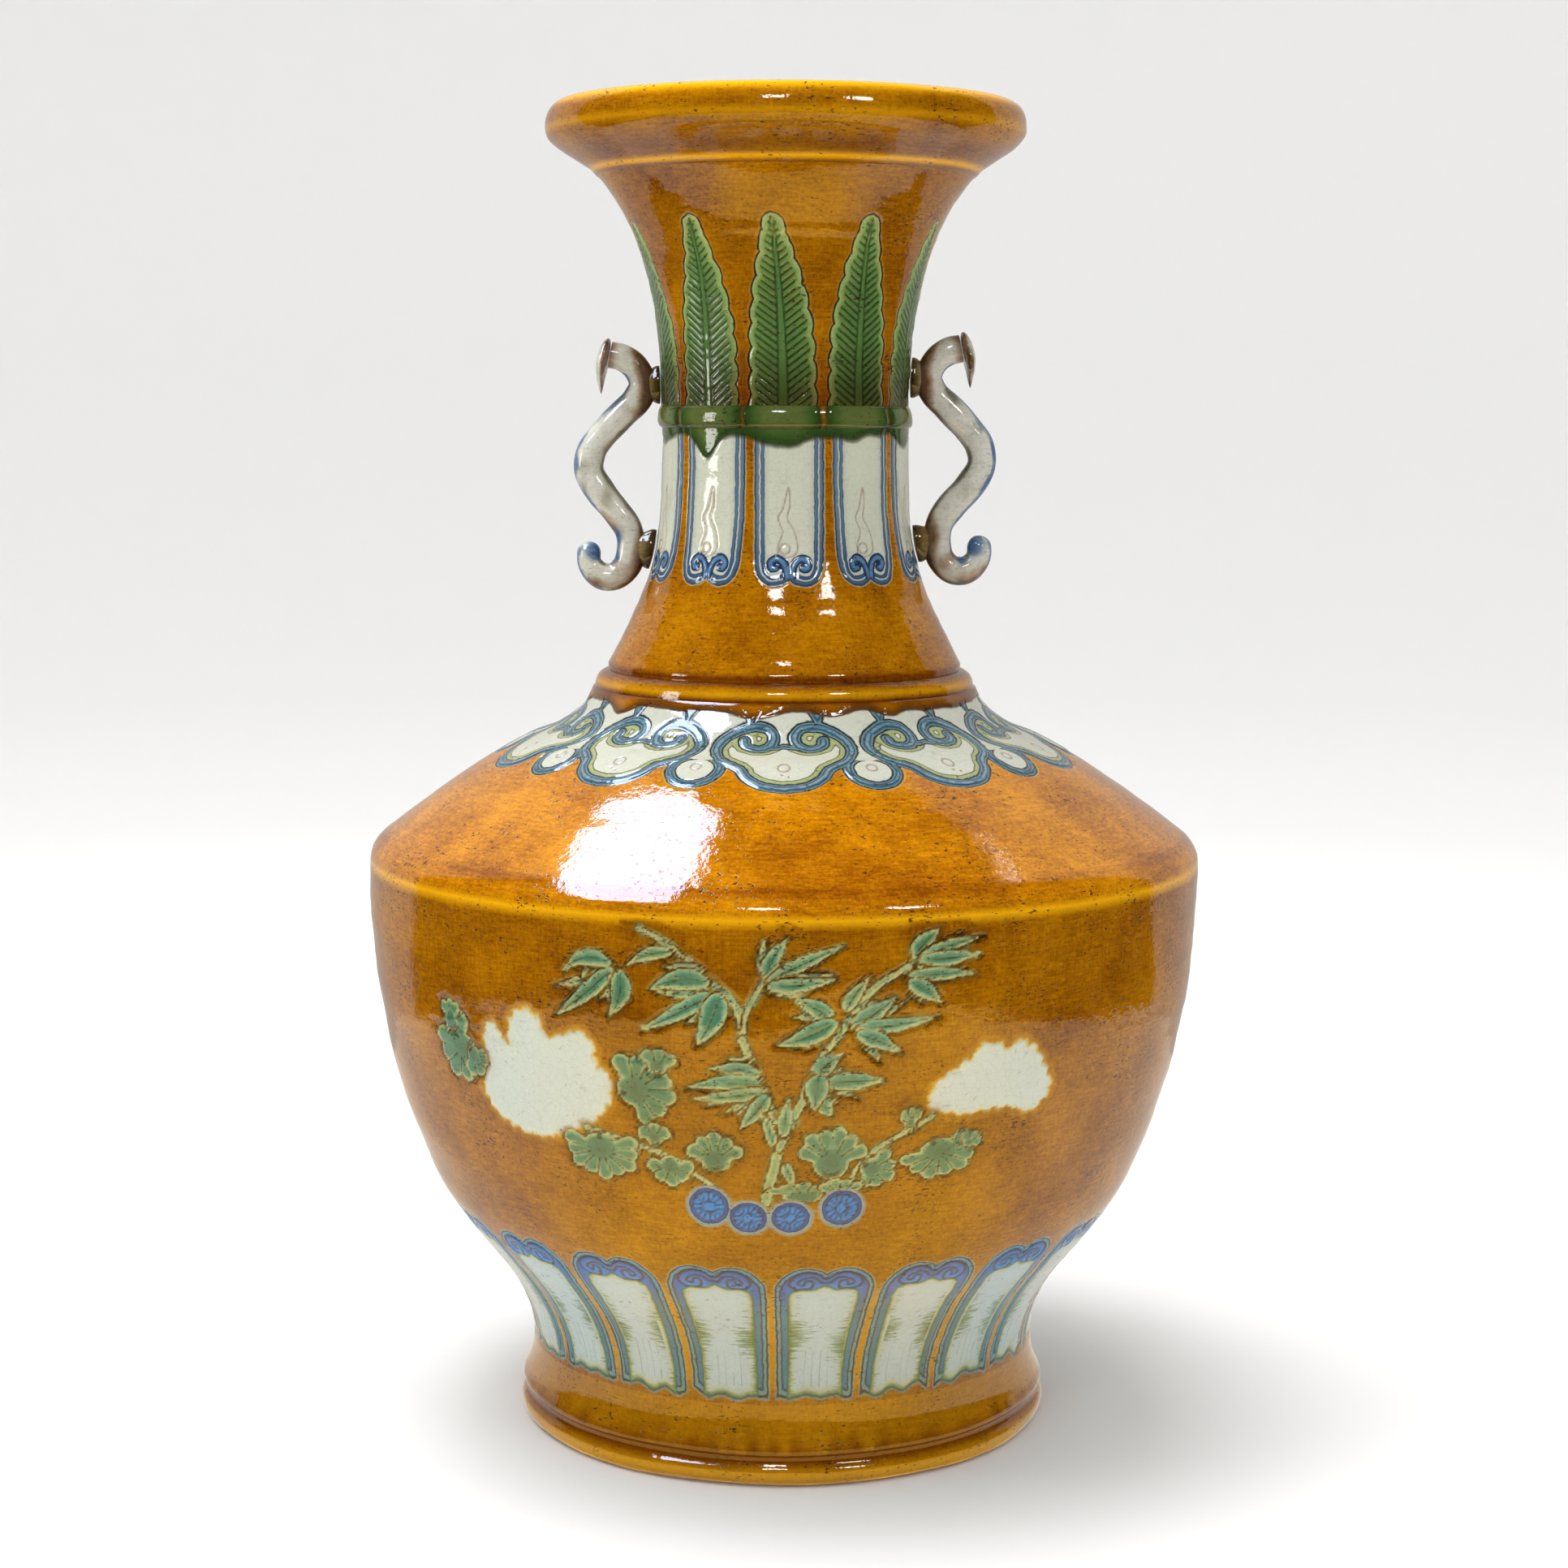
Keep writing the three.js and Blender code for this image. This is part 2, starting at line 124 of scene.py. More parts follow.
class VaseGlazes(bpy.types.PropertyGroup):
    """Colours of the lead glazes and the clay."""

    honey: colour("Honey", "Amber glaze where it is thin and light", "#C07E06")
    amber: colour("Amber", "Amber glaze", "#A06304")
    chestnut: colour("Chestnut", "Amber glaze where it is thick", "#7C4303")
    yellow: colour("Yellow", "Amber glaze worn thin on raised lines", "#EEAC10")
    leaf_green: colour("Leaf green", "Copper green glaze", "#60823F")
    pale_green: colour("Pale green", "Copper green glaze where it is thin", "#92AB6C")
    teal: colour("Teal", "Blue-green glaze of the spray's leaves", "#6DA181")
    straw_white: colour("Straw white", "Clear lead glaze over white slip", "#C9CCB8")
    blue: colour("Blue", "Cobalt blue glaze where it is thick", "#3D69AE")
    grey_blue: colour("Grey blue", "Cobalt blue glaze where it is thin", "#7C98AC")
    aubergine: colour("Aubergine", "Manganese purple in fine cut lines", "#7D5560")
    outline: colour("Outline", "Dark glaze that gathers in the carved outlines", "#2A1E10")
    rod_white: colour("Rod white", "Grey-white glaze of the handles", "#D8D8CC")
    clay: colour("Clay", "Bare fired clay under the foot", "#C9B08A")


class StageSettings(bpy.types.PropertyGroup):
    """Camera and floor."""

    camera_distance: length("Camera distance", "From the vase's axis to the camera, level", 1014.4)
    camera_height: length("Camera height", "Height of the camera above the floor", 347.4)
    camera_pitch: bpy.props.FloatProperty(
        name="Camera pitch", description="How far the camera looks down", default=math.radians(7.18),
        subtype="ANGLE",
    )
    camera_roll: bpy.props.FloatProperty(
        name="Camera roll", description="How far the camera is turned about its line of sight",
        default=math.radians(0.19), subtype="ANGLE",
    )
    lens: bpy.props.FloatProperty(
        name="Lens", description="Focal length on a 36 mm sensor", default=67.79, min=1.0, subtype="DISTANCE_CAMERA",
    )
    floor: colour("Floor", "Colour of the floor", "#F2F2F2")
    wall: colour("Wall", "Colour of the backdrop", "#EDEDED")


# Curves in millimetres

def bezier(points, samples):
    """Points along a Bezier curve of any degree, without its first point."""
    t = np.linspace(0, 1, samples + 1)[1:, None]
    row = [np.array(p, float) + 0 * t for p in points]
    while len(row) > 1:
        row = [a + (b - a) * t for a, b in zip(row, row[1:])]
    return row[0]


def outline(start, *pieces, samples=64):
    """A path of radius and height: each piece is the control points of a line or curve after the last point."""
    parts = [np.array([start], float)]
    for piece in pieces:
        parts.append(bezier([parts[-1][-1], *piece], samples))
    return np.vstack(parts)


def run_along(points):
    """Distance along a path at each of its points."""
    return np.concatenate([[0.0], np.cumsum(np.hypot(*np.diff(points, axis=0).T[:2]))])


def spaced(points, step):
    """The path cut into equal steps of about this length."""
    run = run_along(points)
    marks = np.linspace(0, run[-1], max(int(round(run[-1] / step)), 1) + 1)
    return np.column_stack([np.interp(marks, run, points[:, k]) for k in range(points.shape[1])])


def smooth_path(points, samples=6, closed=False):
    """A Catmull-Rom curve through given points."""
    p = np.array(points, float)
    if closed:
        p = np.vstack([p[-1], p, p[0], p[1]])
    else:
        p = np.vstack([2 * p[0] - p[1], p, 2 * p[-1] - p[-2]])
    t = np.linspace(0, 1, samples, endpoint=False)[:, None]
    parts = []
    for a, b, c, d in zip(p, p[1:], p[2:], p[3:]):
        parts.append(0.5 * (2 * b + (c - a) * t + (2 * a - 5 * b + 4 * c - d) * t ** 2
                            + (3 * b - a - 3 * c + d) * t ** 3))
    if not closed:
        parts.append(p[-2:-1])
    return np.vstack(parts)


def levels(sizes):
    """Heights of the seams, in millimetres from the ground."""
    s = sizes
    steps = [s.foot_height, s.body_height, s.shoulder_height, s.collar_height, s.lower_neck_height,
             s.band_height, s.upper_neck_height, s.mouth_height]
    names = ["waist", "crease", "shoulder", "collar", "band", "upper_neck", "mouth", "top"]
    return dict(zip(names, np.cumsum([step / MM for step in steps])))


def section_outlines(sizes):
    """The outer outline of each thrown section, from its lower seam to its upper one."""
    at = levels(sizes)
    stand, bead, groove = (v / MM for v in (sizes.standing_radius, sizes.foot_bead_radius, sizes.foot_groove_radius))
    waist, knee, crease = (v / MM for v in (sizes.waist_radius, sizes.knee_radius, sizes.crease_radius))
    bend, top, collar = (v / MM for v in (sizes.bend_radius, sizes.shoulder_top_radius, sizes.collar_bead_radius))
    neck_foot, neck, seat = (v / MM for v in (sizes.collar_top_radius, sizes.neck_radius, sizes.mouth_seat_radius))
    band = neck + sizes.band_proud / MM
    lip = sizes.lip_radius / MM
    knee_z = at["waist"] + sizes.knee_rise / MM
    bend_z = at["shoulder"] - sizes.bend_drop / MM
    lip_z = at["top"] - 8.5
    half_band = sizes.band_height / MM * 0.45
    return {
        "foot_ring": outline(
            (stand, 0), [(bead, 0), (bead, 5)], [(bead, 8), (groove, 9.5)], [(bead, 11.5), (bead - 1, 13.5)],
            [(waist, at["waist"] - 8), (waist, at["waist"])]),
        "lower_body": outline(
            (waist, at["waist"]),
            [(waist - 0.5, at["waist"] + 25.8), (knee - 10.5, knee_z - 23.3), (knee, knee_z)],
            [(knee + 14.2, knee_z + 31.5), (crease + 0.6, at["crease"] - 38), (crease, at["crease"])]),
        "shoulder": outline(
            (crease, at["crease"]), [(crease, at["crease"] + 4.95), (crease - 5.4, at["crease"] + 9)],
            [(crease - 21, at["crease"] + 21), (bend + 13, bend_z - 5.5), (bend, bend_z)],
            [(top + 4.2, bend_z + 5), (top, at["shoulder"])]),
        "neck_collar": outline(
            (top - 0.5, at["shoulder"]), [(collar, at["shoulder"] + 1.6)],
            [(collar - 0.6, at["collar"] - 0.8), (neck_foot, at["collar"])]),
        "lower_neck": outline(
            (neck_foot - 0.7, at["collar"]), [(neck_foot - 0.4, at["collar"] + 1.8)],
            [(neck + 3.6, at["collar"] + 31), (neck - 0.4, at["collar"] + 37), (neck, at["band"])]),
        "neck_band": outline(
            (neck + 0.1, at["band"]), [(band + 0.2, at["band"] + 0.6), (band, at["band"] + half_band)],
            [(band - 0.2, at["upper_neck"] - 0.8), (neck + 0.1, at["upper_neck"])]),
        "upper_neck": outline(
            (neck + 0.1, at["upper_neck"]),
            [(neck - 0.2, at["upper_neck"] + 33), (seat - 14.6, at["mouth"] - 16.5), (seat, at["mouth"])]),
        "mouth_rim": outline(
            (seat + 0.3, at["mouth"]), [(seat + 1.5, at["mouth"] + 1.1)], [(seat + 2.2, at["mouth"] + 2)],
            [(seat + 8, at["mouth"] + 6.2), (lip, lip_z - 5.5), (lip, lip_z)],
            [(lip, lip_z + 5.27), (lip - 2.4, at["top"]), (lip - 4.95, at["top"])]),
    }


def wall_inside(outer, low_wall, high_wall, start=None, step=3.0):
    """The inner surface behind an outline: set in level by a wall that changes evenly from seam to seam."""
    low, high = outer[0, 1], outer[-1, 1]
    count = max(int((high - low) / step), 1)
    rise = np.linspace(low if start is None else start, high, count + 1)
    wall = low_wall + (high_wall - low_wall) * (rise - low) / (high - low)
    return np.column_stack([np.interp(rise, outer[:, 1], outer[:, 0]) - wall, rise])


def inner_surfaces(sizes, outlines):
    """The inner surface of each section, from the bottom up."""
    at = levels(sizes)
    crease, bend, top = (v / MM for v in (sizes.crease_radius, sizes.bend_radius, sizes.shoulder_top_radius))
    seat, lip = sizes.mouth_seat_radius / MM, sizes.lip_radius / MM
    bend_z = at["shoulder"] - sizes.bend_drop / MM
    foot = wall_inside(outlines["foot_ring"], 11, 12)
    foot[:, 0] += 2.5 * np.clip(1 - foot[:, 1] / 13.5, 0, 1)
    shoulder = outline(
        (crease - 9, at["crease"]), [(crease - 16, at["crease"] + 10), (bend + 9, bend_z - 13), (bend - 3.5, bend_z - 9)],
        [(top - 7, bend_z), (top - 12, at["shoulder"])])
    mouth = outline(
        (seat - 9.2, at["mouth"]),
        [(seat - 1, at["mouth"] + 8), (lip - 14, at["mouth"] + 12), (lip - 11, at["top"] - 4)],
        [(lip - 10, at["top"]), (lip - 6.6, at["top"])])
    return {
        "foot_ring": foot,
        "shoulder": spaced(shoulder, 3),
        "neck_collar": wall_inside(outlines["neck_collar"], 11.5, 11),
        "lower_neck": wall_inside(outlines["lower_neck"], 10.3, 8),
        "neck_band": wall_inside(outlines["neck_band"], 8, 8),
        "upper_neck": wall_inside(outlines["upper_neck"], 8, 9.5),
        "mouth_rim": spaced(mouth, 1.2),
    }


def bowl_inside(sizes, outer):
    """The belly's inside from the top down to the middle of its floor."""
    at = levels(sizes)
    floor = at["waist"] + 11
    wall = wall_inside(outer, 12, 9, start=floor + 14, step=10.0)
    edge = np.interp(floor, outer[:, 1], outer[:, 0]) - 12
    corner = outline(wall[0], [(edge, floor), (edge - 14, floor)], samples=6)
    middle = np.column_stack([np.linspace(edge - 14, 0, 6), np.full(6, floor)])
    return np.vstack([wall[::-1], corner[1:], middle[1:]])


# Drawing on the clay: distances in millimetres, above zero inside a shape

class Ground:
    """Places on a section's outer surface, and the glaze that each one gets."""

    def __init__(self, turn, up, radius, height, outer):
        self.turn, self.up, self.radius, self.height, self.outer = turn, up, radius, height, outer
        self.white, self.green, self.blue, self.cut = (np.full(len(turn), -FAR) for _ in range(4))
        self.pool, self.ridge, self.pale, self.bare, self.lift = (np.zeros(len(turn)) for _ in range(5))

    def near(self, turn, up, reach, flat_radius=None):
        """Numbers of the places within reach of a spot, and how far across and up from it they are."""
        radius = self.radius if flat_radius is None else flat_radius
        across = np.radians((self.turn - turn + 180) % 360 - 180) * radius
        rise = self.up - up
        picked = np.nonzero((np.abs(across) < reach) & (np.abs(rise) < reach) & self.outer)[0]
        return picked, across[picked], rise[picked]


def to_path(x, y, path):
    """Distance from each place to a path."""
    best = np.full(len(x), 1e9)
    for (ax, ay), (bx, by) in zip(path, path[1:]):
        dx, dy = bx - ax, by - ay
        t = np.clip(((x - ax) * dx + (y - ay) * dy) / max(dx * dx + dy * dy, 1e-9), 0, 1)
        best = np.minimum(best, (x - ax - t * dx) ** 2 + (y - ay - t * dy) ** 2)
    return np.sqrt(best)


def in_shape(x, y, shape):
    """Distance to a closed shape's edge, above zero inside it."""
    loop = np.vstack([shape, shape[:1]])
    inside = np.zeros(len(x), bool)
    for (ax, ay), (bx, by) in zip(loop, loop[1:]):
        if ay != by:
            inside ^= ((ay > y) != (by > y)) & (x < (bx - ax) * (y - ay) / (by - ay) + ax)
    away = to_path(x, y, loop)
    return np.where(inside, away, -away)


def paint(field, picked, distance, rim=0.7):
    """Lays a shape over what is there, with a rim of its own round it."""
    field[picked] = np.where(distance > -rim, distance, np.maximum(field[picked], distance))


def ease(value, low, high):
    """From 0 at low to 1 at high, with a soft start and end."""
    t = np.clip((value - low) / (high - low), 0, 1)
    return t * t * (3 - 2 * t)


def mirrored(right_half):
    """A closed shape from its right half, listed from the bottom up."""
    right = np.array(right_half, float)
    left = right[::-1] * [-1, 1]
    keep = left[:, 0] < -1e-6
    return np.vstack([right, left[keep]])


def ripple(turn, height, seed, waves=9, turns=(2, 9), rise=(20, 70)):
    """A slow, hand-made unevenness round the vase, between about -1 and 1."""
    rng = np.random.default_rng(seed)
    total = np.zeros(len(turn))
    for _ in range(waves):
        count = rng.integers(turns[0], turns[1] + 1)
        total += np.sin(np.radians(turn) * count + height / rng.uniform(*rise) * math.tau + rng.uniform(0, math.tau))
    return total / math.sqrt(waves)


# Shapes of the decoration, in millimetres

def blade(base, tip, width, bow=0.0):
    """A bamboo leaf from its base to its tip, widest a third of the way along."""
    base, tip = np.array(base, float), np.array(tip, float)
    t = np.linspace(0, 1, 15)[:, None]
    along = tip - base
    side = np.array([-along[1], along[0]]) / np.hypot(*along)
    middle = base + along * t + side * bow * 4 * t * (1 - t)
    half = width / 2 * np.sin(math.pi * t ** 0.66) ** 0.95
    return np.vstack([middle + side * half, (middle - side * half)[::-1][1:-1]]), middle


def fan_leaf(x, y, across, up, count, turn, span):
    """Distances to the edge of a leaf with finger lobes round a span of it, and to the seams between the lobes."""
    size = (across + up) / 2
    x, y = x / across * size, y / up * size
    step = span / count
    angles = np.radians(turn + (np.arange(count) - (count - 1) / 2) * step)
    width = 0.66 * size * math.sin(math.radians(step / 2)) * 1.22
    fingers = []
    for number, angle in enumerate(angles):
        along = x * math.cos(angle) + y * math.sin(angle)
        aside = -x * math.sin(angle) + y * math.cos(angle)
        reach = size * (0.96 - 0.07 * (number % 2)) - width
        middle = np.clip(along, 0.1 * size, reach)
        taper = width * (0.35 + 0.65 * np.clip(along / reach, 0, 1))
        fingers.append(taper - np.hypot(along - middle, aside))
    ranked = np.sort(np.array(fingers), axis=0)
    edge = np.maximum(ranked[-1], 0.46 * size - np.hypot(x, y))
    seam = np.where(np.hypot(x, y) > 0.26 * size, ranked[-1] - ranked[-2], FAR)
    return edge, seam


LEAF_HALF = smooth_path([(-4, 11.2), (0, 11.1), (20, 10.6), (30, 9.8), (43, 7.4), (52, 5.1), (58, 3.9), (61.4, 2.6),
                         (62.8, 0.1)])


def plantain_leaf(lean):
    """A tall serrated leaf of the upper neck, with its base at the bottom and its tip leaning by so much."""
    y = np.linspace(-3, 62.8, 150)
    half = np.interp(y, LEAF_HALF[:, 0], LEAF_HALF[:, 1])
    middle = lean * np.clip(y / 63, 0, 1) ** 2
    fade = 1 - np.clip(y / 63, 0, 1) ** 8
    right = middle + half + (1.3 * np.abs(np.sin(math.pi * (y + 1.5) / 8.2)) ** 0.7 - 0.9) * fade
    left = middle - half - (1.3 * np.abs(np.sin(math.pi * (y + 4.1) / 7.7)) ** 0.7 - 0.9) * fade
    return np.vstack([np.column_stack([right, y]), np.column_stack([left, y])[::-1]])


NECK_PANEL = mirrored(smooth_path([
    (0, 36.3), (2.2, 34.9), (5.4, 34.2), (8.6, 35.2), (10.7, 38.6), (11.2, 44), (11.2, 60), (11.2, 90), (11.2, 96)]))
NECK_CURL = smooth_path([(0.7, 36.6), (1.0, 39.4), (2.2, 42.0), (4.4, 43.1), (6.2, 41.9), (5.9, 39.9), (4.6, 39.9)])
FLAME = smooth_path([
    (-1, 43.4), (2.2, 44.7), (2.7, 47.8), (1.4, 52.5), (-0.7, 56.3), (0.2, 60.7), (-0.3, 66.3), (-2.0, 59.8),
    (-3.7, 56.3), (-2.2, 51.9), (-3.6, 47.8), (-3.7, 44.7)], closed=True)
FLAME_EYE = (-1.5, 46.3, 1.7)

CLOUD_BAND = smooth_path([
    (12.6, 27.6), (12.4, 25.2), (10.2, 23.6), (7.0, 23.4), (4.2, 25.6), (3.3, 29.6), (5.4, 32.9), (9.8, 33.7), (14.8, 31.9), (19.4, 28.0),
    (21.9, 22.4), (20.2, 15.4), (14.6, 10.4), (12.2, 5.4), (7.2, 1.2), (0, -0.4)])
CLOUD_FIELD = mirrored(smooth_path([
    (0, -2.0), (7.8, -0.2), (12.9, 4.4), (15.4, 9.2), (21.3, 14.2), (23.4, 22.5), (20.6, 29.2), (15.2, 33.3),
    (9.7, 35.2), (4.2, 34.2), (2.2, 30.8), (1.6, 27.5), (0, 26.5)]))
CLOUD_BRIDGE = [(-3.4, 24.0), (0, 24.8), (3.4, 24.0)]

PETAL = mirrored(smooth_path([(10.8, -8), (11.6, 0), (12.3, 14), (13.4, 28), (14.6, 42), (15.0, 49.5), (14.4, 54.6),
                              (12.0, 59.0), (8.4, 61.9), (4.6, 62.3), (1.6, 61.0), (0, 59.3)]))
PETAL_CURL = smooth_path([(0.5, 57.2), (2.2, 59.4), (5.4, 60.0), (8.6, 58.4), (9.8, 55.6), (8.2, 53.6), (5.6, 53.9),
                          (5.2, 55.9)])
PETAL_WINDOW = mirrored(smooth_path([(8.3, -12), (8.6, 8), (9.2, 24), (10.4, 40), (10.9, 47), (10.4, 50.5), (7.4, 52.3),
                                     (3.4, 52.2), (0, 54.4)]))

# The belly spray, drawn flat: across from the front and up from the waist
BAMBOO_LEAVES = [
    ((-50.4, 166.0), (-70.3, 149.0), 5.2, 0.8), ((-48.2, 165.0), (-51.9, 150.4), 6.2, 1.6),
    ((-50.6, 167.0), (-67.0, 163.4), 5.0, -3.0), ((-21.0, 162.7), (-39.4, 159.4), 6.4, -2.2),
    ((-20.2, 159.7), (-42.5, 146.8), 5.0, 0.6), ((-18.4, 159.6), (-25.4, 142.6), 7.6, 1.0),
    ((-32.0, 171.6), (-46.0, 166.8), 3.8, -1.4), ((-6.6, 133.4), (-21.6, 135.4), 4.4, -1.4),
    ((-6.2, 131.0), (-29.2, 128.8), 4.6, -1.0), ((-4.9, 128.6), (-27.5, 125.2), 4.2, 0.4),
    ((-4.3, 127.6), (-13.1, 115.8), 5.2, 0.4), ((-5.6, 164.2), (0.9, 176.6), 4.6, 0.6),
    ((-5.0, 163.2), (17.4, 174.4), 4.0, 0.4), ((-5.0, 161.8), (15.0, 164.0), 4.6, -0.6),
    ((14.3, 151.0), (3.4, 157.8), 5.2, -0.8), ((15.8, 150.8), (-1.8, 143.2), 6.2, 0.8),
    ((19.8, 148.6), (32.8, 158.0), 6.0, -0.4), ((20.6, 148.4), (46.0, 151.2), 4.4, -0.6),
    ((21.4, 146.8), (35.0, 140.4), 5.2, 0.6), ((18.0, 153.6), (25.2, 164.6), 3.8, 0.8),
    ((37.7, 169.6), (46.0, 178.6), 5.6, 0.8), ((39.4, 170.2), (60.0, 175.4), 3.8, 0.4),
    ((39.8, 168.8), (59.2, 169.8), 4.4, 0.0), ((35.4, 164.0), (57.6, 164.0), 4.2, 0.4),
    ((36.4, 163.2), (47.0, 155.2), 5.2, 0.4), ((9.2, 133.6), (17.2, 140.4), 5.8, 0.4),
    ((12.0, 131.0), (30.6, 131.2), 5.4, 0.4), ((9.3, 128.2), (15.2, 120.2), 6.4, -0.4),
    ((10.4, 134.0), (9.6, 122.0), 7.0, 0.0), ((-2.8, 110.0), (-6.4, 121.6), 3.4, -0.4),
    ((0.2, 113.0), (2.0, 126.4), 4.0, 0.4), ((0.6, 104.0), (3.4, 96.0), 3.6, 0.0),
]
STALKS = [
    (smooth_path([(-42.2, 178.5), (-33.7, 174.2), (-26.1, 168.1), (-20.2, 162.7)]), 0.9),
    (smooth_path([(-20.2, 161.9), (-14.3, 156.5), (-12.1, 149.2), (-12.0, 145.6)]), 1.3),
    (smooth_path([(-12.0, 145.0), (-8.6, 135.2), (-4.9, 126.8), (-2.7, 117.3), (-1.1, 109.0)]), 1.5),
    (smooth_path([(-1.4, 108.4), (-3.4, 99.5), (-5.6, 89.6)]), 2.0),
    (smooth_path([(36.6, 167.4), (26.2, 160.9), (18.1, 149.1), (12.2, 141.0)]), 1.3),
    (smooth_path([(12.0, 140.4), (9.0, 134.0), (6.4, 126.7), (1.6, 115.6), (-1.2, 109.2)]), 1.5),
    (smooth_path([(-6.0, 163.0), (-10.4, 154.0), (-11.6, 147.5)]), 0.9),
    (smooth_path([(-63.6, 112.5), (-48.8, 108.9), (-37.9, 105.6), (-26.0, 97.7), (-18.6, 91.6)]), 1.0),
    (smooth_path([(22.0, 97.5), (23.6, 102.4), (28.2, 107.6), (34.6, 111.7), (41.0, 114.8), (46.8, 118.4)]), 1.0),
]
LOBED_LEAVES = [
    ((-41.4, 128.4), 10.2, 9.6, 7, 20, 300), ((-37.4, 137.2), 5.2, 4.6, 3, 80, 200),
    ((-59.0, 102.6), 10.8, 8.8, 9, -90, 330), ((-21.2, 107.6), 7.6, 7.6, 5, 90, 230),
    ((-40.2, 112.8), 4.6, 4.4, 3, 90, 240), ((-35.8, 99.6), 6.2, 5.8, 5, -90, 300),
    ((-115.0, 132.4), 10.4, 9.6, 6, 180, 300), ((-115.6, 143.0), 5.4, 6.0, 3, 90, 150),
    ((-105.0, 128.6), 5.0, 6.0, 3, -60, 240), ((15.2, 107.8), 9.4, 10.0, 6, 90, 220),
    ((30.4, 100.6), 6.4, 6.0, 5, -30, 280), ((52.4, 103.6), 11.0, 7.6, 8, -60, 320),
    ((61.0, 109.2), 3.6, 3.4, 3, 60, 240), ((39.6, 118.4), 3.2, 4.2, 3, 90, 200),
    ((6.6, 93.4), 10.5, 4.0, 5, 90, 200), ((18.4, 94.2), 7.2, 4.8, 4, 90, 180),
]
DISCS = [(-24.2, 87.8, 6.3, 6.4), (-11.4, 83.9, 5.9, 5.3), (2.6, 84.0, 6.0, 5.3), (19.5, 87.4, 6.4, 6.2)]
LEFT_MUM = [
    (-96.0, 143.7), (-91.9, 139.0), (-89.4, 137.4), (-88.4, 145.0), (-83.5, 149.4), (-77.5, 148.0), (-74.8, 141.6),
    (-69.5, 142.4), (-62.5, 144.4), (-58.2, 140.0), (-57.8, 134.6), (-53.0, 130.2), (-53.8, 123.0), (-59.5, 115.9),
    (-68.7, 110.3), (-82.5, 107.2), (-91.8, 109.0), (-100.8, 114.3), (-103.0, 122.0), (-99.4, 130.6), (-100.2, 138.0)]
RIGHT_MUM = [
    (44.5, 123.0), (46.9, 129.0), (52.1, 133.2), (57.8, 136.8), (61.2, 141.2), (66.8, 140.6), (70.3, 138.6),
    (74.4, 140.6), (80.2, 138.0), (84.2, 132.6), (88.1, 124.6), (85.2, 118.4), (80.1, 116.4), (72.6, 118.9),
    (65.1, 119.0), (58.8, 118.0), (49.0, 119.8)]


def frilled(points, depth=1.2, pitch=5.0):
    """A flower edge through listed points, with small petals along it."""
    edge = smooth_path(points, samples=10, closed=True)
    run = run_along(np.vstack([edge, edge[:1]]))
    count = max(round(run[-1] / pitch), 3)
    middle = edge.mean(axis=0)
    wave = np.abs(np.sin(math.pi * count * run[:-1] / run[-1]))[:, None] ** 0.7
    return edge + (edge - middle) / np.linalg.norm(edge - middle, axis=1)[:, None] * (wave - 0.6) * depth


# Bands of decoration

def draw_leaves(ground, at):
    """The ten plantain leaves of the upper neck, with their veins."""
    leans = [-4.0, -3.2, 1.0, -2.0, 0.5, -3.0, 1.6, -1.0, -2.6, 0.8]
    for number in range(10):
        picked, x, y = ground.near(-1 + 36 * number, 0, 70)
        leaf = plantain_leaf(leans[number])
        edge = in_shape(x, y, leaf)
        paint(ground.green, picked, edge)
        middle = leans[number] * np.clip(y / 63.5, 0, 1) ** 2
        off = np.abs(x - middle)
        narrow = 1 - 0.75 * np.clip(y / 63.5, 0, 1)
        rib = 0.26 - np.abs(off - 1.7 * narrow)
        comb = (y - 0.75 * off) / 2.5
        veins = 0.34 - np.abs((comb % 1) - 0.5) * 2.5 * 0.8
        veins = np.where((off > 1.9 * narrow) & (edge > 1.7), veins, -1)
        lines = np.where(edge > 0.8, np.maximum(rib, veins), -1)
        ground.cut[picked] = np.maximum(ground.cut[picked], lines)
        ground.pool[picked] = np.maximum(ground.pool[picked], 0.6 * ease(edge, 1.5, 3.5) * ease(-y, -24, 4))
        ground.pool[picked] = np.maximum(ground.pool[picked], 0.8 * ease(-edge, 0.3, 1.2) * ease(-y, -26, 0))
        tip = ease(y, 34, 62) * 0.8
        ground.pale[picked] = np.where(edge > -2, tip, ground.pale[picked])
        ground.lift[picked] += 0.18 * ease(edge, 0, 2) - 0.1 * ease(edge, 2, 3.4)


def drip_depth(turn, spots, base, seed):
    """How far a run of glaze hangs down, round the vase."""
    depth = base + 0.5 * ripple(turn, 0 * turn, seed, turns=(6, 26))
    for centre, drop, spread in spots:
        off = (turn - centre + 180) % 360 - 180
        depth = depth + drop * np.exp(-(off / spread) ** 2)
    return depth


GREEN_RUNS = [(-38, 8.0, 7), (-2, 4.2, 13), (28, 1.6, 14), (72, 4.5, 9), (106, 6.5, 8), (142, 2.5, 13), (176, 7.0, 8),
              (-75, 3.0, 12), (-110, 6.0, 8), (-146, 3.5, 12)]


